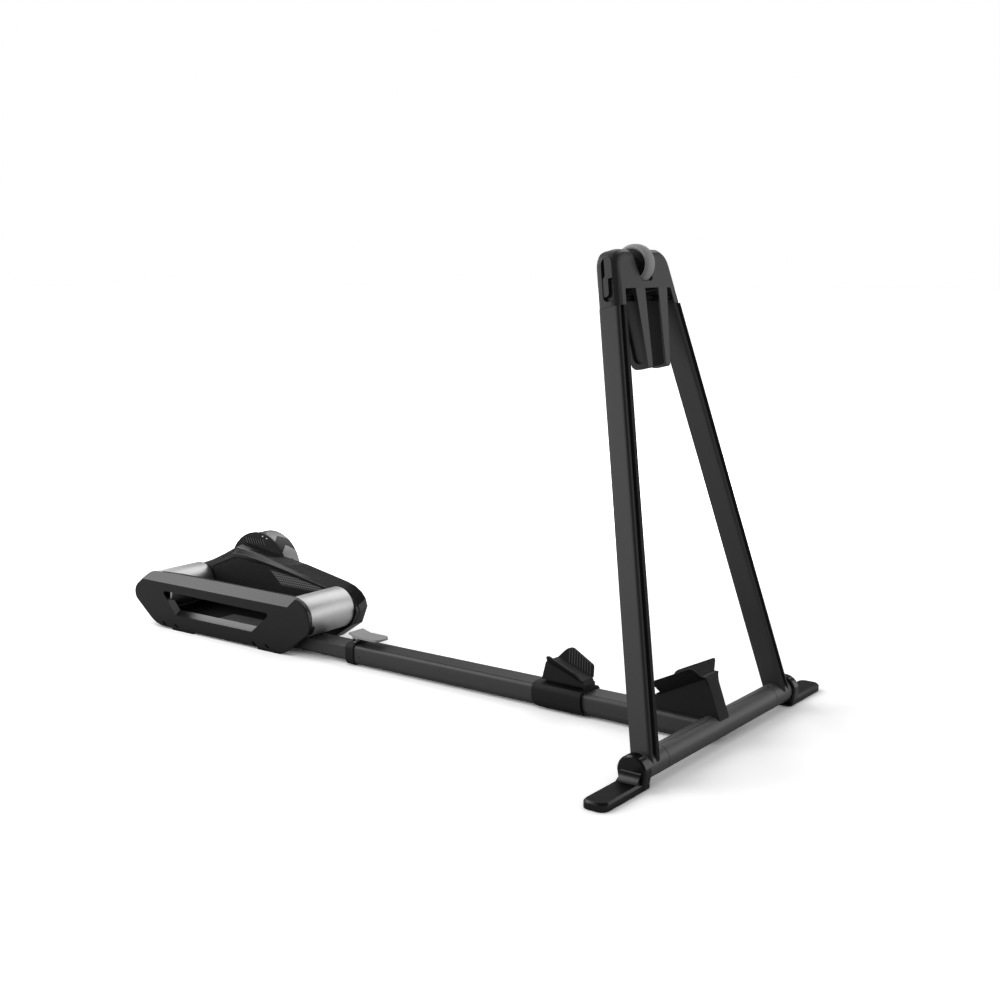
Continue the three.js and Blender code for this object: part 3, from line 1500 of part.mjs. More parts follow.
function shroudPorts() {
  const ports = [];
  for (let index = 0; index < shroud.slotCount; index += 1) {
    const along = (index - (shroud.slotCount - 1) / 2) * shroud.slotPitch;
    const slot = prismY(
      outline(rectangle(
        -shroud.slotWidth / 2, shroud.slotWidth / 2, -shroud.slotLength / 2, shroud.slotLength / 2,
        shroud.slotWidth / 2 - clearance,
      ), 1), shroudNear - overrun, shroudFar + overrun,
    );
    const centre = polar(flyAxis, shroud.slotRadius, shroud.slotAngle);
    ports.push(slot.rotate([0, -shroud.slotLean / degree, 0]).translate([centre.x + along, 0, centre.y]));
  }
  [0, 1].forEach((index) => {
    const centre = polar(flyAxis, shroud.lightRadius, shroud.lightAngle + index * shroud.lightSpread);
    const port = rectangle(
      centre.x - shroud.lightHalfWidth, centre.x + shroud.lightHalfWidth,
      centre.y - shroud.lightHalfHeight, centre.y + shroud.lightHalfHeight, shroud.lightHalfHeight / 2,
    );
    ports.push(prismY(outline(port), shroudNear - overrun, shroudNear + shroud.lightDepth));
  });
  return ports;
}

addPiece(carriage, 'flywheel_shroud', less(
  prismY(ring(shroud.radius, flyAxis.x, flyAxis.y - shroud.drop), shroudNear, shroudFar, shroud.edge),
  shaftBore(flywheel.shaftRadius + runningGap, shroudNear - overrun, shroudFar + overrun, flyAxis),
  ...shroudPorts(),
), finish.plastic);

// Brake: a star of poles inside the open side of the flywheel

const statorNear = shroudFar + clearance;
const poleSlots = Array.from({ length: stator.poles }, (_, index) => {
  const slot = block(
    stator.coreRadius, stator.radius + overrun, -stator.poleGap / 2, stator.poleGap / 2,
    statorNear - overrun, statorNear + stator.thickness + overrun,
  ).rotate([0, 0, (360 * index) / stator.poles]);
  return slot.rotate([-90, 0, 0]).mirror([0, 0, 1]).translate([flyAxis.x, 0, flyAxis.y]);
});
addPiece(carriage, 'brake_stator', less(
  rod(stator.radius, statorNear, statorNear + stator.thickness, flyAxis.x, flyAxis.y, middleSteps),
  rod(flywheel.shaftRadius + 2 * runningGap, statorNear - overrun, statorNear + stator.thickness + overrun,
    flyAxis.x, flyAxis.y, smallSteps),
  ...poleSlots,
), finish.copper);

// Flywheel: a heavy rim on a web, open towards the brake

const rimBore = flywheel.radius - flywheel.rimThickness;
const hubNear = statorNear + stator.thickness + runningGap * 2;
addPiece(carriage, 'flywheel', turned([
  [rimBore, flywheel.near],
  [flywheel.radius - flywheel.edgeRound, flywheel.near],
  [flywheel.radius, flywheel.near + flywheel.edgeRound],
  [flywheel.radius, flywheel.far - flywheel.edgeRound],
  [flywheel.radius - flywheel.edgeRound, flywheel.far],
  [flywheel.shaftRadius + clearance, flywheel.far],
  [flywheel.shaftRadius + clearance, hubNear],
  [flywheel.hubRadius, hubNear],
  [flywheel.hubRadius, flywheel.far - flywheel.webThickness],
  [rimBore, flywheel.far - flywheel.webThickness],
  [rimBore, flywheel.near],
], flyAxis.x, flyAxis.y), finish.steel);

function pulleyShaft(shaftRadius, pulleyRadius, from, to) {
  const flangeRadius = pulleyRadius + belt.thickness + pulley.flange;
  return [
    [0, from],
    [shaftRadius, from],
    [shaftRadius, pulley.near],
    [flangeRadius, pulley.near],
    [flangeRadius, pulley.near + pulley.flange],
    [pulleyRadius, pulley.near + pulley.flange],
    [pulleyRadius, pulley.near + pulley.flange + pulley.width],
    [flangeRadius, pulley.near + pulley.flange + pulley.width],
    [flangeRadius, pulley.near + 2 * pulley.flange + pulley.width],
    [shaftRadius, pulley.near + 2 * pulley.flange + pulley.width],
    [shaftRadius, to],
    [0, to],
  ];
}

addPiece(carriage, 'flywheel_shaft', turned(
  pulleyShaft(flywheel.shaftRadius, pulley.drivenRadius, housing.crease + clearance, flywheel.far + pulley.flange),
  flyAxis.x, flyAxis.y, smallSteps,
), finish.steel);

const beltMargin = (pulley.width - belt.width) / 2;
const beltNear = pulley.near + pulley.flange + beltMargin;
addPiece(carriage, 'drive_belt', less(
  prismY(beltOutline(belt.thickness), beltNear, beltNear + belt.width),
  prismY(beltOutline(clearance), beltNear - overrun, beltNear + belt.width + overrun),
), finish.rubber);

// Rollers: a tube on two hubs, the front one on a fixed axle, the rear one on its shaft

const shaftNear = plateInner - plate.shaftSeat + clearance;
addPiece(carriage, 'front_axle', rod(
  roller.shaftRadius, shaftNear, wallBack, frontAxis.x, frontAxis.y, smallSteps,
), finish.steel);
addPiece(carriage, 'rear_shaft', turned(
  pulleyShaft(roller.shaftRadius, pulley.driveRadius, shaftNear, coverFloor - runningGap),
  rearAxis.x, rearAxis.y, smallSteps,
), finish.steel);

[['front', frontAxis], ['rear', rearAxis]].forEach(([place, axis]) => {
  const drumBore = roller.radius - roller.wall;
  addPiece(carriage, `${place}_roller`, turned([
    [drumBore, -roller.nearEnd],
    [roller.radius - roller.endChamfer, -roller.nearEnd],
    [roller.radius, -roller.nearEnd + roller.endChamfer],
    [roller.radius, roller.farEnd - roller.endChamfer],
    [roller.radius - roller.endChamfer, roller.farEnd],
    [drumBore, roller.farEnd],
    [drumBore, -roller.nearEnd],
  ], axis.x, axis.y), finish.aluminium);
  const hubSpans = [
    ['near', -roller.nearEnd + roller.hubInset],
    ['far', roller.farEnd - roller.hubInset - roller.hubThickness],
  ];
  hubSpans.forEach(([end, from]) => {
    addPiece(carriage, `${place}_roller_${end}_hub`, less(
      rod(drumBore - clearance, from, from + roller.hubThickness, axis.x, axis.y, middleSteps),
      shaftBore(roller.shaftRadius + clearance, from - overrun, from + roller.hubThickness + overrun, axis),
    ), finish.castGrey);
  });
});

// Floor pads under both sides of the roller unit

const plateBottom = sidePlateShares[0][1] * plate.height;
const coverBottom = housingFloorShares[2][1] * housing.height;
const padRows = [
  ['near', plateInner - plate.thickness / 2, plateBottom],
  ['far', (housing.crease + housing.outer) / 2, coverBottom],
];
padRows.forEach(([row, across, top]) => {
  [['front', pad.frontReach], ['rear', -pad.rearReach]].forEach(([place, along]) => {
    const plan = outline(rectangle(
      along - pad.length / 2, along + pad.length / 2, across - pad.width / 2, across + pad.width / 2, pad.cornerRadius,
    ));
    addPiece(carriage, `${row}_${place}_pad`, prismZ(plan, 0, top - clearance), finish.rubber);
  });
});

// The origin lies on the floor, under the middle of the whole stand

const bounds = new THREE.Box3().setFromObject(model);
const middle = bounds.getCenter(new THREE.Vector3());
stand.position.set(-middle.x, -middle.y, -bounds.min.z);

export default model;
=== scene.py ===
import json
import math

import bmesh
import bpy
from mathutils import Matrix, Vector


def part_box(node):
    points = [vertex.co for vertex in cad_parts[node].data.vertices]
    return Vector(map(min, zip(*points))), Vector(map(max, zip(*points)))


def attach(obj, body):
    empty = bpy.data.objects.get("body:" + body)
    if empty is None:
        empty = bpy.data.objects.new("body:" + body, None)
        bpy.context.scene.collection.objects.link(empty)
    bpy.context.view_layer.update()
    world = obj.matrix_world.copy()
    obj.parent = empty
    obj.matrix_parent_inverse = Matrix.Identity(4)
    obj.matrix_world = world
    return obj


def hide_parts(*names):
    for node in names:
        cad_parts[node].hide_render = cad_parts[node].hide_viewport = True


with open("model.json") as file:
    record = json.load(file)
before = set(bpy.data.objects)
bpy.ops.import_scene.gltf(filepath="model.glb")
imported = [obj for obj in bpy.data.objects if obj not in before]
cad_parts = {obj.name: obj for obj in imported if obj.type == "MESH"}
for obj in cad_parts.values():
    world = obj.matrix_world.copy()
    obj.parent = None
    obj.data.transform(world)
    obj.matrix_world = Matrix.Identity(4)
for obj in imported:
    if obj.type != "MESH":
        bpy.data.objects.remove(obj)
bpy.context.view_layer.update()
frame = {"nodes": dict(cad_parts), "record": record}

nodes = frame["nodes"]
bodyOf = {node: body for body, members in frame["record"]["behaviour"]["bodies"].items() for node in members}
scene = bpy.context.scene
print("stage: frame loaded,", len(nodes), "solids")


# small helpers for node trees

def newMaterial(name):
    material = bpy.data.materials.new(name)
    material.use_nodes = True
    tree = material.node_tree
    return material, tree, tree.nodes["Principled BSDF"]


def addNode(tree, kind, inputs=None, **settings):
    node = tree.nodes.new(kind)
    for key, value in settings.items():
        setattr(node, key, value)
    for key, value in (inputs or {}).items():
        if isinstance(value, bpy.types.NodeSocket):
            tree.links.new(value, node.inputs[key])
        else:
            node.inputs[key].default_value = value
    return node


def objectPoint(tree, scale=(1, 1, 1)):
    place = addNode(tree, "ShaderNodeTexCoord")
    return addNode(tree, "ShaderNodeMapping", {"Vector": place.outputs["Object"], "Scale": scale}).outputs["Vector"]


def objectAxes(tree):
    place = addNode(tree, "ShaderNodeTexCoord").outputs["Object"]
    return place, addNode(tree, "ShaderNodeSeparateXYZ", {0: place}).outputs


def maths(tree, operation, first, second=0.0):
    return addNode(tree, "ShaderNodeMath", {0: first, 1: second}, operation=operation).outputs[0]


def noise(tree, point, scale, detail, roughness=0.55):
    found = addNode(tree, "ShaderNodeTexNoise", {
        "Vector": point, "Scale": scale, "Detail": detail, "Roughness": roughness,
    })
    return found.outputs["Fac"]


def between(tree, value, low, high, start=0.3, end=0.7):
    return addNode(tree, "ShaderNodeMapRange", {
        "Value": value, "From Min": start, "From Max": end, "To Min": low, "To Max": high,
    }).outputs["Result"]


def asColour(value):
    return value if isinstance(value, bpy.types.NodeSocket) else (*value, 1)


def colourBetween(tree, value, first, second):
    mix = addNode(tree, "ShaderNodeMix", {0: value, 6: asColour(first), 7: asColour(second)}, data_type="RGBA")
    return mix.outputs[2]


def valueBetween(tree, value, first, second):
    return addNode(tree, "ShaderNodeMix", {0: value, 2: first, 3: second}, data_type="FLOAT").outputs[0]


def bump(tree, height, strength, distance, normal=None):
    inputs = {"Height": height, "Strength": strength, "Distance": distance}
    if normal is not None:
        inputs["Normal"] = normal
    return addNode(tree, "ShaderNodeBump", inputs).outputs["Normal"]


def grey(level):
    return (level, level, level)


# finishes: each one has its own grain, patchiness and gloss

powder = dict(spread=0.10, gloss=0.42, glossSpread=0.06, grain=1400, depth=0.00006)
# painted light: the satin black paint below comes in three copies, the cross tube's lighter and the legs' darker than
# the boom's, for the light that falls on each piece
coatings = {
    "powderCoat": dict(powder, tone=0.032, specular=0.5),
    "legCoat": dict(powder, tone=0.023, specular=0.36),
    "tubeCoat": dict(powder, tone=0.078, specular=0.5),
    # painted shade: the two below are darker copies of the leg paint and the foot shell, for how the light falls on the
    # flat faces
    "flangeShadeCoat": dict(powder, tone=0.006, gloss=0.5, specular=0.12),
    "toeShadeShell": dict(
        tone=0.002, spread=0.15, gloss=0.45, glossSpread=0.05, grain=420, depth=0.00002, specular=0.08,
    ),
    "slabCoat": dict(
        tone=0.004, spread=0.15, gloss=0.27, glossSpread=0.04, grain=1700, depth=0.000015, specular=0.42,
    ),
    "glossShell": dict(
        tone=0.002, spread=0.15, gloss=0.20, glossSpread=0.05, grain=420, depth=0.00002, specular=0.42,
    ),
    "mouldedBlack": dict(
        tone=0.004, spread=0.18, gloss=0.55, glossSpread=0.08, grain=1100, depth=0.00008, specular=0.28,
    ),
    "smoothBlack": dict(
        tone=0.003, spread=0.20, gloss=0.42, glossSpread=0.08, grain=700, depth=0.00003, specular=0.3,
    ),
    "pocketBlack": dict(
        tone=0.002, spread=0.20, gloss=0.75, glossSpread=0.08, grain=700, depth=0.00003, specular=0.12,
    ),
    "softRubber": dict(
        tone=0.006, spread=0.25, gloss=0.82, glossSpread=0.10, grain=900, depth=0.00012, specular=0.3,
    ),
    "ribRubber": dict(
        tone=0.075, spread=0.15, gloss=0.6, glossSpread=0.08, grain=900, depth=0.00006, specular=0.4,
    ),
    "greyLeverShell": dict(
        tone=0.29, spread=0.08, gloss=0.42, glossSpread=0.06, grain=1200, depth=0.00005, specular=0.45,
    ),
    "panBlack": dict(
        tone=0.002, spread=0.10, gloss=0.6, glossSpread=0.06, grain=1200, depth=0.00005, specular=0.06,
    ),
    "dialGrey": dict(
        tone=0.36, spread=0.14, gloss=0.62, glossSpread=0.10, grain=520, depth=0.00012, specular=0.4,
    ),
}
coatGrain = dict(patches=14, patchDetail=4.0, fineDetail=2.0, bump=0.6)


def coating(name):
    sizes = coatings[name]
    material, tree, shader = newMaterial(name)
    point = objectPoint(tree)
    patches = noise(tree, point, coatGrain["patches"], coatGrain["patchDetail"])
    fine = noise(tree, point, sizes["grain"], coatGrain["fineDetail"])
    low = grey(sizes["tone"] * (1 - sizes["spread"]))
    high = grey(sizes["tone"] * (1 + sizes["spread"]))
    tree.links.new(colourBetween(tree, patches, low, high), shader.inputs["Base Color"])
    rough = between(tree, fine, sizes["gloss"] - sizes["glossSpread"], sizes["gloss"] + sizes["glossSpread"])
    tree.links.new(rough, shader.inputs["Roughness"])
    tree.links.new(bump(tree, fine, coatGrain["bump"], sizes["depth"]), shader.inputs["Normal"])
    shader.inputs["Specular IOR Level"].default_value = sizes["specular"]
    return material


finishes = {name: coating(name) for name in coatings}

metals = {
    "rollerAlloy": dict(tone=0.74, gloss=0.46, lines=2600),
    "turnedSteel": dict(tone=0.50, gloss=0.30, lines=1500),
}
lathe = dict(
    across=6, streakDetail=2.0, streakRough=0.6, clouds=22, cloudDetail=3.0, dull=0.93,
    smoother=0.07, rougher=0.09, bump=0.25, depth=0.00002,
)


def turnedMetal(name):
    # fine lathe lines run round the axis, so they vary only along Y
    sizes = metals[name]
    material, tree, shader = newMaterial(name)
    point = objectPoint(tree, (lathe["across"], sizes["lines"], lathe["across"]))
    streaks = noise(tree, point, 1.0, lathe["streakDetail"], lathe["streakRough"])
    clouds = noise(tree, objectPoint(tree), lathe["clouds"], lathe["cloudDetail"])
    tones = colourBetween(tree, clouds, grey(sizes["tone"] * lathe["dull"]), grey(sizes["tone"]))
    tree.links.new(tones, shader.inputs["Base Color"])
    rough = between(tree, streaks, sizes["gloss"] - lathe["smoother"], sizes["gloss"] + lathe["rougher"])
    tree.links.new(rough, shader.inputs["Roughness"])
    tree.links.new(bump(tree, streaks, lathe["bump"], lathe["depth"]), shader.inputs["Normal"])
    shader.inputs["Metallic"].default_value = 1.0
    return material


for name in metals:
    finishes[name] = turnedMetal(name)

winding = dict(
    tone=(0.34, 0.12, 0.05), shade=0.45, gloss=0.4, metal=0.7,
    wires=1900, perBand=6, wobble=0.6, detail=1.0, bump=0.5, depth=0.0003,
)


def windingLacquer():
    material, tree, shader = newMaterial("windingLacquer")
    wires = addNode(tree, "ShaderNodeTexWave", {
        "Vector": objectPoint(tree), "Scale": winding["wires"] / winding["perBand"],
        "Distortion": winding["wobble"], "Detail": winding["detail"],
    }, bands_direction="Y")
    dark = tuple(part * winding["shade"] for part in winding["tone"])
    tree.links.new(colourBetween(tree, wires.outputs["Fac"], dark, winding["tone"]), shader.inputs["Base Color"])
    tree.links.new(bump(tree, wires.outputs["Fac"], winding["bump"], winding["depth"]), shader.inputs["Normal"])
    shader.inputs["Roughness"].default_value = winding["gloss"]
    shader.inputs["Metallic"].default_value = winding["metal"]
    return material


finishes["windingLacquer"] = windingLacquer()
print("stage: finishes ready,", len(finishes))


# pieces from the frame's solids: joined, flat faces merged, edges eased and shaded smooth

def pieceName(node):
    first, *rest = node.split("_")
    return first + "".join(word.capitalize() for word in rest)


def place(piece, node):
    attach(piece, bodyOf[node])
    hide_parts(node)
    return piece


def smoothMesh(shape, name, sharpFrom=40):
    # edges steeper than sharpFrom degrees stay crisp
    for face in shape.faces:
        face.smooth = True
    mesh = bpy.data.meshes.new(name)
    shape.to_mesh(mesh)
    shape.free()
    mesh.set_sharp_from_angle(angle=math.radians(sharpFrom))
    return mesh


def linkMesh(name, mesh, material):
    piece = bpy.data.objects.new(name, mesh)
    scene.collection.objects.link(piece)
    piece.data.materials.append(material)
    return piece


def evenNormals(piece):
    weights = piece.modifiers.new("even normals", "WEIGHTED_NORMAL")
    weights.keep_sharp = True
    weights.weight = edgeSizes["faceWeight"]


edgeSizes = dict(merge=0.00002, flat=0.6, easedFrom=26, segments=2, profile=0.5, lean=0.05, faceWeight=60)
crispPlates = ("near_side_plate", "bay_wall", "drive_cover")


def isEased(node, edge):
    # plates also keep the edge of a shallow bevel crisp: there the two faces lean differently across the plate
    if len(edge.link_faces) != 2:
        return False
    first, second = edge.link_faces
    leans = node in crispPlates and abs(first.normal.y - second.normal.y) > edgeSizes["lean"]
    return leans or edge.calc_face_angle(0) > math.radians(edgeSizes["easedFrom"])


def easedPiece(node, material, width):
    shape = bmesh.new()
    shape.from_mesh(nodes[node].data)
    bmesh.ops.remove_doubles(shape, verts=shape.verts, dist=edgeSizes["merge"])
    bmesh.ops.dissolve_limit(
        shape, angle_limit=math.radians(edgeSizes["flat"]), verts=shape.verts, edges=shape.edges,
    )
    bmesh.ops.bevel(
        shape, geom=[edge for edge in shape.edges if isEased(node, edge)], offset=width, offset_type="OFFSET",
        segments=edgeSizes["segments"], profile=edgeSizes["profile"], affect="EDGES", clamp_overlap=True,
    )
    piece = linkMesh(pieceName(node), smoothMesh(shape, pieceName(node)), finishes[material])
    evenNormals(piece)
    return place(piece, node)


# node, finish and width of the eased edges
easedPieces = [
    ("cross_tube", "tubeCoat", 0.0005),
    ("near_leg_collar", "tubeCoat", 0.0007), ("far_leg_collar", "tubeCoat", 0.0007),
    # painted light: the near leg takes the darker copy of the paint and the far leg the boom's copy
    ("near_leg", "legCoat", 0.0004), ("far_leg", "powderCoat", 0.0004), ("head_cap", "legCoat", 0.0009),
    ("near_tab", "legCoat", 0.0005), ("far_tab", "legCoat", 0.0005),
    ("near_arm", "legCoat", 0.0009), ("far_arm", "legCoat", 0.0009),
    ("near_arm_pad", "softRubber", 0.0005), ("far_arm_pad", "softRubber", 0.0005),
    ("near_foot", "glossShell", 0.0009), ("far_foot", "glossShell", 0.0009),
    ("near_foot_pad", "softRubber", 0.0003), ("far_foot_pad", "softRubber", 0.0003),
    ("front_boom", "powderCoat", 0.0003), ("clamp_collar", "mouldedBlack", 0.0005),
    ("clamp_lever", "greyLeverShell", 0.0009), ("cradle_sleeve", "mouldedBlack", 0.0006),
    ("inner_boom", "powderCoat", 0.0005), ("unit_base", "panBlack", 0.0006),
    ("near_side_plate", "slabCoat", 0.0008), ("bay_wall", "slabCoat", 0.0009), ("drive_cover", "slabCoat", 0.0009),
    ("flywheel_shroud", "mouldedBlack", 0.0003),
    ("near_front_pad", "softRubber", 0.0004), ("near_rear_pad", "softRubber", 0.0004),
    ("far_front_pad", "softRubber", 0.0004), ("far_rear_pad", "softRubber", 0.0004),
    ("power_inlet", "smoothBlack", 0.0003),
]
pieces = {node: easedPiece(node, material, width) for node, material, width in easedPieces}
print("stage: eased pieces,", len(pieces))

# painted shade: the flat fronts of the legs and the flat tops of the toes get darker copies of their paint than their
# rounded edges, for how the light falls on them; on the real piece it is one paint
flatFrom = 0.93
shadedFlatFaces = [
    ("near_leg", "flangeShadeCoat", "x"), ("far_leg", "flangeShadeCoat", "x"),
    ("near_foot", "toeShadeShell", "z"), ("far_foot", "toeShadeShell", "z"),
]
for node, material, axis in shadedFlatFaces:
    pieces[node].data.materials.append(finishes[material])
    for face in pieces[node].data.polygons:
        if getattr(face.normal, axis) > flatFrom:
            face.material_index = 1

innerNodes = {
    "near_tube_plug": "mouldedBlack", "far_tube_plug": "mouldedBlack", "boom_plug": "mouldedBlack",
    "near_collar_bush": "smoothBlack", "far_collar_bush": "smoothBlack", "slide_bush": "smoothBlack",
    "pivot_shaft": "turnedSteel", "lever_pin": "smoothBlack", "guide_rod": "pocketBlack", "dial_spindle": "turnedSteel",
    "flywheel_shaft": "turnedSteel", "front_axle": "turnedSteel", "rear_shaft": "turnedSteel",
    "front_roller_near_hub": "mouldedBlack", "front_roller_far_hub": "mouldedBlack",
    "rear_roller_near_hub": "mouldedBlack", "rear_roller_far_hub": "mouldedBlack",
    "drive_belt": "softRubber", "brake_stator": "windingLacquer",
}
for node, material in innerNodes.items():
    solid = nodes[node].data
    solid.materials.clear()
    solid.materials.append(finishes[material])


# turned pieces with smooth rims, made from a profile of (radius, along) points

def centreOf(node):
    low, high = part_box(node)
    return (low.x + high.x) / 2, (low.z + high.z) / 2


def turnedPiece(node, profile, material, steps):
    centreX, centreZ = centreOf(node)
    rings = []
    shape = bmesh.new()
    for radius, along in profile:
        ring = []
        for step in range(steps):
            angle = 2 * math.pi * step / steps
            ring.append(shape.verts.new((
                centreX + radius * math.cos(angle), along, centreZ + radius * math.sin(angle),
            )))
        rings.append(ring)
    for first, second in zip(rings, rings[1:] + rings[:1]):
        for step in range(steps):
            after = (step + 1) % steps
            shape.faces.new((first[step], first[after], second[after], second[step]))
    bmesh.ops.recalc_face_normals(shape, faces=shape.faces)
    return place(linkMesh(pieceName(node), smoothMesh(shape, pieceName(node)), finishes[material]), node)


def roundedCorner(radius, along, size, outward, steps=4):
    # a quarter round at the corner of a rim: outward is -1 at the low end of the piece and 1 at the high end
    points = []
    for step in range(steps + 1):
        angle = math.pi / 2 * step / steps
        if outward < 0:
            points.append((radius - size + size * math.sin(angle), along + size - size * math.cos(angle)))
        else:
            points.append((radius - size + size * math.cos(angle), along - size + size * math.sin(angle)))
    return points


rollerSizes = dict(wall=0.004, edge=0.0012, steps=160)
for node in ("front_roller", "rear_roller"):
    low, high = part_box(node)
    radius = (high.z - low.z) / 2
    bore = radius - rollerSizes["wall"]
    profile = [(bore, low.y)]
    profile += roundedCorner(radius, low.y, rollerSizes["edge"], -1)
    profile += roundedCorner(radius, high.y, rollerSizes["edge"], 1)
    profile.append((bore, high.y))
    turnedPiece(node, profile, "rollerAlloy", rollerSizes["steps"])

chevrons = dict(
    count=4, slant=0.15, phase=0.75, side=0.93, light=0.34, middle=0.11, dark=0.008,
    gloss=0.36, smoother=0.06, rougher=0.08, metal=0.25,
    wornScale=60, wornDetail=4.0, worn=0.12, grainAcross=6, grain=500, grainDetail=2.0, bump=0.3, depth=0.00003,
)


def chevronSteel():
    # arrows painted round the rim: a saw along the turn, pushed back by the distance from the middle of the rim
    low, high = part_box("flywheel")
    centreX, centreZ = centreOf("flywheel")
    material, tree, shader = newMaterial("chevronSteel")
    point, axes = objectAxes(tree)
    alongX = maths(tree, "SUBTRACT", axes["X"], centreX)
    alongZ = maths(tree, "SUBTRACT", axes["Z"], centreZ)
    turn = maths(tree, "DIVIDE", maths(tree, "ARCTAN2", alongZ, alongX), 2 * math.pi / chevrons["count"])
    across = maths(tree, "ABSOLUTE", maths(tree, "SUBTRACT", axes["Y"], (low.y + high.y) / 2))
    across = maths(tree, "DIVIDE", across, (high.y - low.y) / 2)
    leaned = maths(tree, "ADD", turn, maths(tree, "MULTIPLY", across, chevrons["slant"]))
    stepped = maths(tree, "FRACT", maths(tree, "ADD", leaned, chevrons["phase"]))
    ramp = addNode(tree, "ShaderNodeValToRGB", {"Fac": stepped})
    ramp.color_ramp.interpolation = "CONSTANT"
    bands = ("light", "dark", "light", "middle")
    for index, band in enumerate(bands):
        position = index / len(bands)
        stop = ramp.color_ramp.elements[index] if index < 2 else ramp.color_ramp.elements.new(position)
        stop.position = position
        stop.color = (*grey(chevrons[band]), 1)
    worn = noise(tree, point, chevrons["wornScale"], chevrons["wornDetail"])
    wear = between(tree, worn, 0.0, chevrons["worn"])
    shaded = colourBetween(tree, wear, ramp.outputs["Color"], grey(chevrons["middle"]))
    side = maths(tree, "GREATER_THAN", across, chevrons["side"])
    tree.links.new(colourBetween(tree, side, shaded, grey(chevrons["dark"])), shader.inputs["Base Color"])
    fine = noise(tree, objectPoint(tree, (1, chevrons["grainAcross"], 1)), chevrons["grain"], chevrons["grainDetail"])
    rough = between(tree, fine, chevrons["gloss"] - chevrons["smoother"], chevrons["gloss"] + chevrons["rougher"])
    tree.links.new(rough, shader.inputs["Roughness"])
    tree.links.new(bump(tree, fine, chevrons["bump"], chevrons["depth"]), shader.inputs["Normal"])
    shader.inputs["Metallic"].default_value = chevrons["metal"]
    return material


finishes["chevronSteel"] = chevronSteel()

wheelSizes = dict(
    rimThickness=0.013, rimRound=0.004, web=0.008, hubRadius=0.017, hubNear=0.1532, bore=0.0073,
    lip=0.002, dish=0.0016, steps=160,
)


def turnFlywheel():
    low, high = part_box("flywheel")
    radius = (high.z - low.z) / 2
    rimBore = radius - wheelSizes["rimThickness"]
    hub = wheelSizes["hubRadius"]
    lip = wheelSizes["lip"]
    dish = high.y - wheelSizes["dish"]
    webNear = high.y - wheelSizes["web"]
    profile = [(rimBore, low.y)]
    profile += roundedCorner(radius, low.y, wheelSizes["rimRound"], -1)
    profile += roundedCorner(radius, high.y, wheelSizes["rimRound"], 1)
    profile += [
        (rimBore + lip, high.y), (rimBore, dish), (hub + lip * 2, dish), (hub + lip, high.y),
        (wheelSizes["bore"], high.y), (wheelSizes["bore"], wheelSizes["hubNear"]),
        (hub, wheelSizes["hubNear"]), (hub, webNear), (rimBore, webNear),
    ]
    turnedPiece("flywheel", profile, "chevronSteel", wheelSizes["steps"])


turnFlywheel()
print("stage: rollers and flywheel turned")


# the dial leans with the A-frame, but its axis lies along Y like the others

dialSizes = dict(rimDepth=0.009, innerShare=0.8, crown=0.0062, crownPower=0.6, crownSteps=12, steps=144, hubEdge=0.0004)


def dialRim():
    low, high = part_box("dial_rim")
    radius = (high.z - low.z) / 2
    inner = radius - dialSizes["rimDepth"]
    shoulder = radius - dialSizes["crown"]
    middle = (low.y + high.y) / 2
    half = (high.y - low.y) / 2
    profile = [(inner, middle - half * dialSizes["innerShare"])]
    for step in range(dialSizes["crownSteps"] + 1):
        turn = math.pi * (step / dialSizes["crownSteps"] - 0.5)
        rise = dialSizes["crown"] * max(math.cos(turn), 0.0) ** dialSizes["crownPower"]
        profile.append((shoulder + rise, middle + half * math.sin(turn)))
    profile.append((inner, middle + half * dialSizes["innerShare"]))
    turnedPiece("dial_rim", profile, "dialGrey", dialSizes["steps"])


dialRim()
easedPiece("dial_hub", "smoothBlack", dialSizes["hubEdge"])
print("stage: dial made")


# cradles: the front one carries a fine lattice on its far wing and its front strip, the rear one has ribs

lattice = dict(
    pitch=1350, depth=0.0004, bump=0.35, shadedWingTone=0.006, wingClimb=1.2, litStripTone=0.024, stripClimb=1.0,
    groove=0.15, ridge=1.6, low=0.2, high=0.9, grain=900, grainDetail=2.0, gloss=0.55, glossSpread=0.08, specular=0.12,
)


def latticeRubber(name, along, climb, tone):
    # two families of fine grooves that cross: along is the axis that runs with the face, and climb is their slope
    material, tree, shader = newMaterial(name)
    point, axes = objectAxes(tree)
    run = axes[along]
    rise = maths(tree, "MULTIPLY", axes["Z"], climb)
    first = maths(tree, "SINE", maths(tree, "MULTIPLY", maths(tree, "ADD", run, rise), lattice["pitch"]))
    second = maths(tree, "SINE", maths(tree, "MULTIPLY", maths(tree, "SUBTRACT", run, rise), lattice["pitch"]))
    height = maths(tree, "MAXIMUM", first, second)
    fine = noise(tree, point, lattice["grain"], lattice["grainDetail"])
    # painted shade in the grooves and a painted highlight on the ridges: the tone follows the lattice height
    tones = colourBetween(
        tree, between(tree, height, 0.0, 1.0, lattice["low"], lattice["high"]),
        grey(tone * lattice["groove"]), grey(tone * lattice["ridge"]),
    )
    tree.links.new(tones, shader.inputs["Base Color"])
    rough = between(tree, fine, lattice["gloss"] - lattice["glossSpread"], lattice["gloss"] + lattice["glossSpread"])
    tree.links.new(rough, shader.inputs["Roughness"])
    tree.links.new(bump(tree, height, lattice["bump"], lattice["depth"]), shader.inputs["Normal"])
    shader.inputs["Specular IOR Level"].default_value = lattice["specular"]
    return material


# painted light: the far wing and the front strip are one rubber; the wing takes a darker copy and the strip a lighter
# one, for the light that falls on each
finishes["latticeWing"] = latticeRubber("latticeWing", "X", lattice["wingClimb"], lattice["shadedWingTone"])
finishes["latticeStrip"] = latticeRubber("latticeStrip", "Y", lattice["stripClimb"], lattice["litStripTone"])

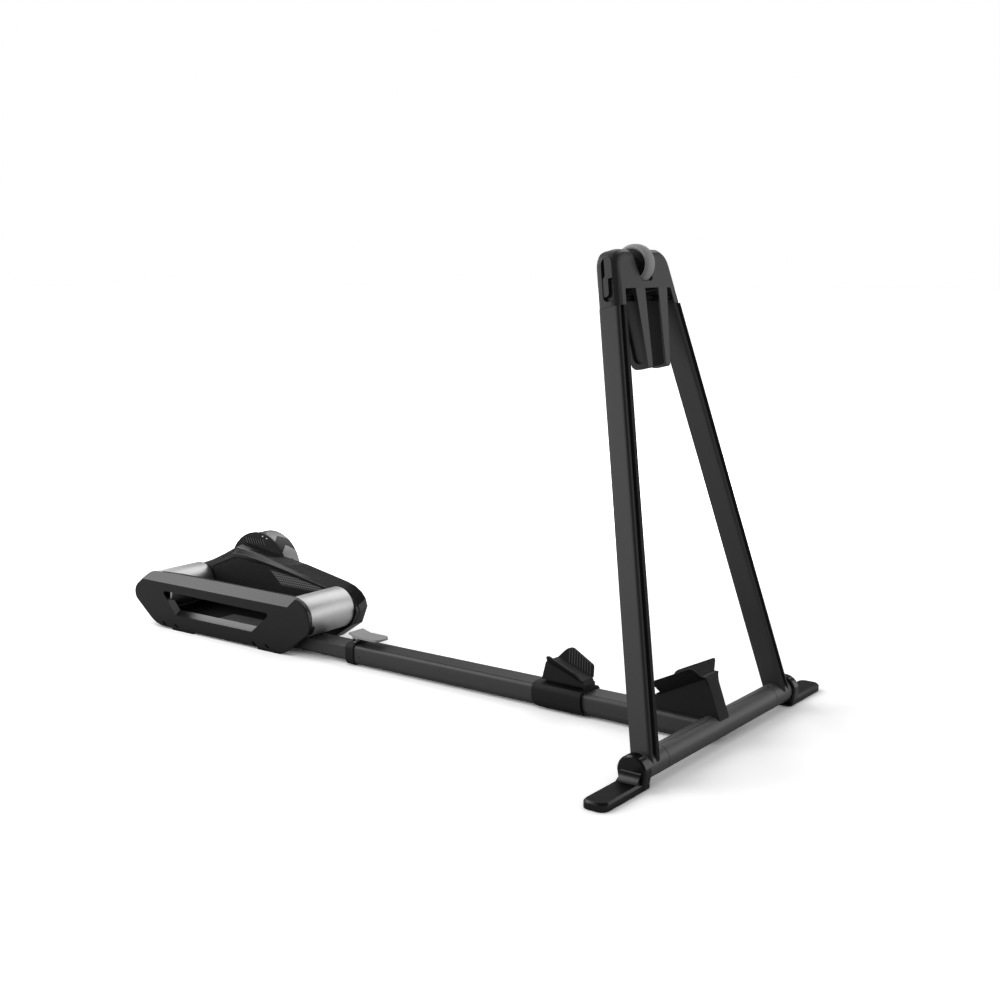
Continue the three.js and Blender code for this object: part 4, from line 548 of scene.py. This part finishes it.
frontCradleFaces = dict(
    edge=0.0005, wingLean=-0.3, wingUp=0.2, wingFromY=0.01, wingFromZ=0.07, stripFacing=0.6, stripHalf=0.03,
)


def isLatticeWing(face):
    leaning = face.normal.y < frontCradleFaces["wingLean"] and face.normal.z > frontCradleFaces["wingUp"]
    return leaning and face.center.y > frontCradleFaces["wingFromY"] and face.center.z > frontCradleFaces["wingFromZ"]


def isLatticeStrip(face):
    return face.normal.x > frontCradleFaces["stripFacing"] and abs(face.center.y) < frontCradleFaces["stripHalf"]


frontCradle = easedPiece("front_cradle", "mouldedBlack", frontCradleFaces["edge"])
frontCradle.data.materials.append(finishes["latticeWing"])
frontCradle.data.materials.append(finishes["latticeStrip"])
for face in frontCradle.data.polygons:
    if isLatticeWing(face):
        face.material_index = 1
    elif isLatticeStrip(face):
        face.material_index = 2

# the rear cradle's ribs stand a little proud of its wings and are paler
rearCradleRibs = dict(edge=0.0003, facing=(0.23, 0.71, 0.67), match=0.995, proud=0.0005)
rearCradle = easedPiece("rear_cradle", "mouldedBlack", rearCradleRibs["edge"])
rearCradle.data.materials.append(finishes["ribRubber"])
alongX, acrossY, upZ = rearCradleRibs["facing"]
for side in (-1, 1):
    wing = Vector((alongX, side * acrossY, upZ)).normalized()
    facing = [
        face for face in rearCradle.data.polygons
        if face.normal.dot(wing) > rearCradleRibs["match"] and face.center.y * side < 0
    ]
    proudest = max(face.center.dot(wing) for face in facing)
    for face in facing:
        if face.center.dot(wing) > proudest - rearCradleRibs["proud"]:
            face.material_index = 1
print("stage: cradles made")


# the bay panel has a patch of small round holes

panelHoles = dict(
    pitch=0.0060, rowShare=0.866, shift=600, radius=0.34, soft=0.06, deep=0.0006, deepBump=0.6,
    tone=0.0025, web=0.15, faint=0.08, holeTone=0.0015, gloss=0.45, glossSpread=0.07, specular=0.2,
    grain=1100, grainDetail=2.0, bump=0.4, depth=0.00006, edgeWidth=0.0003,
    top=0.1415, topX=-0.461, topFall=0.0968, bottom=0.1075, rearLean=1.164, frontX=-0.300, frontLean=1.66, edge=0.004,
)


def roundHoles(tree, x, z):
    # 1 inside a hole and 0 on the web: rows half a pitch out of step, and shift keeps the columns positive
    column = maths(tree, "DIVIDE", x, panelHoles["pitch"])
    row = maths(tree, "DIVIDE", z, panelHoles["pitch"] * panelHoles["rowShare"])
    odd = maths(tree, "MULTIPLY", maths(tree, "MODULO", maths(tree, "FLOOR", row), 2.0), 0.5)
    shifted = maths(tree, "ADD", maths(tree, "ADD", column, odd), panelHoles["shift"])
    u = maths(tree, "SUBTRACT", maths(tree, "FRACT", shifted), 0.5)
    v = maths(tree, "SUBTRACT", maths(tree, "FRACT", row), 0.5)
    away = maths(tree, "SQRT", maths(tree, "ADD", maths(tree, "MULTIPLY", u, u), maths(tree, "MULTIPLY", v, v)))
    inner, outer = panelHoles["radius"] - panelHoles["soft"], panelHoles["radius"] + panelHoles["soft"]
    return between(tree, away, 1.0, 0.0, inner, outer)


def clearPatch(tree, x, z):
    # the clear patch lies under a slanting line, between two leaning ones
    behindTop = maths(tree, "MULTIPLY", maths(tree, "SUBTRACT", x, panelHoles["topX"]), panelHoles["topFall"])
    under = maths(tree, "SUBTRACT", maths(tree, "SUBTRACT", panelHoles["top"], behindTop), z)
    over = maths(tree, "SUBTRACT", z, panelHoles["bottom"])
    drop = maths(tree, "SUBTRACT", panelHoles["top"], z)
    rearEdge = maths(tree, "ADD", maths(tree, "MULTIPLY", drop, panelHoles["rearLean"]), panelHoles["topX"])
    ahead = maths(tree, "SUBTRACT", x, rearEdge)
    frontEdge = maths(tree, "ADD", maths(tree, "MULTIPLY", over, panelHoles["frontLean"]), panelHoles["frontX"])
    behind = maths(tree, "SUBTRACT", frontEdge, x)
    nearest = maths(tree, "MINIMUM", maths(tree, "MINIMUM", under, over), maths(tree, "MINIMUM", ahead, behind))
    return between(tree, nearest, panelHoles["faint"], 1.0, 0.0, panelHoles["edge"])


def piercedPanel():
    material, tree, shader = newMaterial("piercedPanel")
    point, axes = objectAxes(tree)
    hole = roundHoles(tree, axes["X"], axes["Z"])
    inside = clearPatch(tree, axes["X"], axes["Z"])
    webTone = colourBetween(tree, inside, grey(panelHoles["tone"]), grey(panelHoles["web"]))
    mixed = colourBetween(tree, hole, webTone, grey(panelHoles["holeTone"]))
    tree.links.new(mixed, shader.inputs["Base Color"])
    fine = noise(tree, point, panelHoles["grain"], panelHoles["grainDetail"])
    smooth, dull = panelHoles["gloss"] - panelHoles["glossSpread"], panelHoles["gloss"] + panelHoles["glossSpread"]
    tree.links.new(between(tree, fine, smooth, dull), shader.inputs["Roughness"])
    deep = bump(tree, maths(tree, "SUBTRACT", 1.0, hole), panelHoles["deepBump"], panelHoles["deep"])
    tree.links.new(bump(tree, fine, panelHoles["bump"], panelHoles["depth"], deep), shader.inputs["Normal"])
    shader.inputs["Specular IOR Level"].default_value = panelHoles["specular"]
    return material


finishes["piercedPanel"] = piercedPanel()
easedPiece("bay_panel", "piercedPanel", panelHoles["edgeWidth"])
print("stage: bay panel made")


# small lamps in the shroud's two ports

lampFinish = dict(tone=0.75, cloudy=0.85, gloss=0.2, smoother=0.05, rougher=0.08, grain=800, grainDetail=2.0, glow=0.25)


def lampLens():
    material, tree, shader = newMaterial("lampLens")
    cloudy = noise(tree, objectPoint(tree), lampFinish["grain"], lampFinish["grainDetail"])
    tones = colourBetween(tree, cloudy, grey(lampFinish["tone"] * lampFinish["cloudy"]), grey(lampFinish["tone"]))
    tree.links.new(tones, shader.inputs["Base Color"])
    smooth, dull = lampFinish["gloss"] - lampFinish["smoother"], lampFinish["gloss"] + lampFinish["rougher"]
    tree.links.new(between(tree, cloudy, smooth, dull), shader.inputs["Roughness"])
    shader.inputs["Emission Color"].default_value = (1, 1, 1, 1)
    shader.inputs["Emission Strength"].default_value = lampFinish["glow"]
    return material


finishes["lampLens"] = lampLens()
lensSizes = dict(
    halfLong=0.0022, halfHigh=0.0012, radius=0.082, angles=(69.0, 78.5), face=0.0006, depth=0.0009,
    dome=0.0004, domeShare=0.7, squareness=0.5, steps=24, sharpFrom=50,
)


def squared(value):
    # turns a circle's sine or cosine into that of a rounded rectangle
    return math.copysign(abs(value) ** lensSizes["squareness"], value)


def lampLenses():
    low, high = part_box("flywheel_shroud")
    centreX, centreZ = centreOf("flywheel")
    steps = lensSizes["steps"]
    layers = [
        (1.0, lensSizes["face"] + lensSizes["depth"]), (1.0, lensSizes["face"]),
        (lensSizes["domeShare"], lensSizes["face"] - lensSizes["dome"]),
    ]
    shape = bmesh.new()
    for degrees in lensSizes["angles"]:
        turn = math.radians(degrees)
        x = centreX + lensSizes["radius"] * math.cos(turn)
        z = centreZ + lensSizes["radius"] * math.sin(turn)
        rings = []
        for grow, y in layers:
            ring = []
            for step in range(steps):
                angle = 2 * math.pi * step / steps
                across = lensSizes["halfLong"] * grow * squared(math.cos(angle))
                up = lensSizes["halfHigh"] * grow * squared(math.sin(angle))
                ring.append(shape.verts.new((x + across, low.y + y, z + up)))
            rings.append(ring)
        for first, second in zip(rings, rings[1:]):
            for step in range(steps):
                after = (step + 1) % steps
                shape.faces.new((first[step], first[after], second[after], second[step]))
        shape.faces.new(rings[0])
        shape.faces.new(rings[-1])
    bmesh.ops.recalc_face_normals(shape, faces=shape.faces)
    lenses = linkMesh("shroudLamps", smoothMesh(shape, "shroudLamps", lensSizes["sharpFrom"]), finishes["lampLens"])
    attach(lenses, bodyOf["flywheel_shroud"])


lampLenses()

# pale fins stand between the shroud's leaning vents

finSizes = dict(
    count=8, pitch=0.008, radius=0.067, angle=97.0, lean=25.0,
    halfWide=0.0013, halfLong=0.0075, face=-0.0003, depth=0.0012, edge=0.00015, edgeSegments=2,
)


def ventFins():
    low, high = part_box("flywheel_shroud")
    centreX, centreZ = centreOf("flywheel")
    turn = math.radians(finSizes["angle"])
    y = low.y + finSizes["face"] + finSizes["depth"] / 2
    z = centreZ + finSizes["radius"] * math.sin(turn)
    lean = Matrix.Rotation(-math.radians(finSizes["lean"]), 4, "Y")
    size = Matrix.Diagonal((finSizes["halfWide"] * 2, finSizes["depth"], finSizes["halfLong"] * 2, 1))
    shape = bmesh.new()
    for index in range(finSizes["count"]):
        fromMiddle = (index - (finSizes["count"] - 1) / 2) * finSizes["pitch"]
        x = centreX + finSizes["radius"] * math.cos(turn) + fromMiddle
        bmesh.ops.create_cube(shape, size=1.0, matrix=Matrix.Translation((x, y, z)) @ lean @ size)
    bmesh.ops.bevel(
        shape, geom=shape.edges[:], offset=finSizes["edge"], segments=finSizes["edgeSegments"],
        affect="EDGES", clamp_overlap=True,
    )
    mesh = bpy.data.meshes.new("ventFins")
    shape.to_mesh(mesh)
    shape.free()
    fins = linkMesh("ventFins", mesh, finishes["ribRubber"])
    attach(fins, bodyOf["flywheel_shroud"])


ventFins()
print("stage: shroud lamps and fins made")


# the stage: floor, pale room, lamps and camera

floorSizes = dict(half=60.0, tone=0.48, rough=0.4, nearTone=1.42, farTone=3.4, nearReach=0.9, farReach=2.6)


def makeFloor():
    mesh = bpy.data.meshes.new("floorSheet")
    half = floorSizes["half"]
    mesh.from_pydata([(-half, -half, 0), (half, -half, 0), (half, half, 0), (-half, half, 0)], [], [(0, 1, 2, 3)])
    material, tree, shader = newMaterial("paleFloor")
    tree.nodes.remove(shader)
    path = addNode(tree, "ShaderNodeLightPath")
    plain = addNode(tree, "ShaderNodeBsdfDiffuse", {
        "Color": (*grey(floorSizes["tone"]), 1), "Roughness": floorSizes["rough"],
    })
    # to the camera the sheet grows paler away from the part, so that it ends in white; its darker tone near the part is
    # painted shade round the part
    away = addNode(tree, "ShaderNodeVectorMath", {0: objectPoint(tree)}, operation="LENGTH").outputs["Value"]
    pale = between(tree, away, 0.0, 1.0, floorSizes["nearReach"], floorSizes["farReach"])
    tones = colourBetween(tree, pale, grey(floorSizes["nearTone"]), grey(floorSizes["farTone"]))
    seen = addNode(tree, "ShaderNodeBsdfDiffuse", {"Color": tones, "Roughness": floorSizes["rough"]})
    mix = addNode(tree, "ShaderNodeMixShader", {
        0: path.outputs["Is Camera Ray"], 1: plain.outputs[0], 2: seen.outputs[0],
    })
    tree.links.new(mix.outputs[0], tree.nodes["Material Output"].inputs["Surface"])
    floor = linkMesh("floorSheet", mesh, material)


roomLight = dict(seen=1.0, diffuse=0.40, glossy=0.15)


def makeRoom():
    world = bpy.data.worlds.new("paleRoom")
    world.use_nodes = True
    tree = world.node_tree
    sky = tree.nodes["Background"]
    sky.inputs["Color"].default_value = (1, 1, 1, 1)
    path = addNode(tree, "ShaderNodeLightPath")
    soft = valueBetween(tree, path.outputs["Is Glossy Ray"], roomLight["diffuse"], roomLight["glossy"])
    strength = valueBetween(tree, path.outputs["Is Camera Ray"], soft, roomLight["seen"])
    tree.links.new(strength, sky.inputs["Strength"])
    scene.world = world


lamps = {
    "overheadPanel": dict(place=(-1.7, -0.9, 2.7), aim=(0.0, 0.0, 0.1), size=1.8, power=30),
    "leftPanel": dict(place=(-3.4, -2.5, 1.35), aim=(-0.45, 0.0, 0.1), size=1.6, power=42),
    "sidePanel": dict(place=(-3.1, 0.9, 2.3), aim=(-0.45, 0.0, 0.1), size=1.6, power=26),
    "frontPanel": dict(place=(-1.6, -3.6, 1.1), aim=(0.6, 0.0, 0.4), size=2.4, power=40),
    "backPanel": dict(place=(-0.4, 2.4, 2.5), aim=(-0.3, 0.0, 0.1), size=2.8, power=32),
    "rightPanel": dict(place=(2.9, 2.8, 0.95), aim=(0.3, 0.0, 0.2), size=2.6, power=30),
}


def makeLamps():
    for name, values in lamps.items():
        light = bpy.data.lights.new(name, "AREA")
        light.shape = "SQUARE"
        light.size = values["size"]
        light.energy = values["power"]
        panel = bpy.data.objects.new(name, light)
        scene.collection.objects.link(panel)
        aim = Vector(values["aim"]) - Vector(values["place"])
        panel.matrix_world = Matrix.Translation(values["place"]) @ aim.to_track_quat("-Z", "Y").to_matrix().to_4x4()


view = dict(place=(1.82666, -2.1024, 0.815), tilt=80.657, turn=36.62, lens=50, sensor=36, nearest=0.05)


def makeCamera():
    camera = bpy.data.cameras.new("photoView")
    camera.lens = view["lens"]
    camera.sensor_width = view["sensor"]
    camera.clip_start = view["nearest"]
    eye = bpy.data.objects.new("photoView", camera)
    scene.collection.objects.link(eye)
    eye.location = view["place"]
    eye.rotation_euler = (math.radians(view["tilt"]), 0, math.radians(view["turn"]))
    scene.camera = eye


makeFloor()
makeRoom()
makeLamps()
makeCamera()
scene.view_settings.view_transform = "Standard"
print("stage: floor, lamps and camera placed")

bpy.context.view_layer.update()
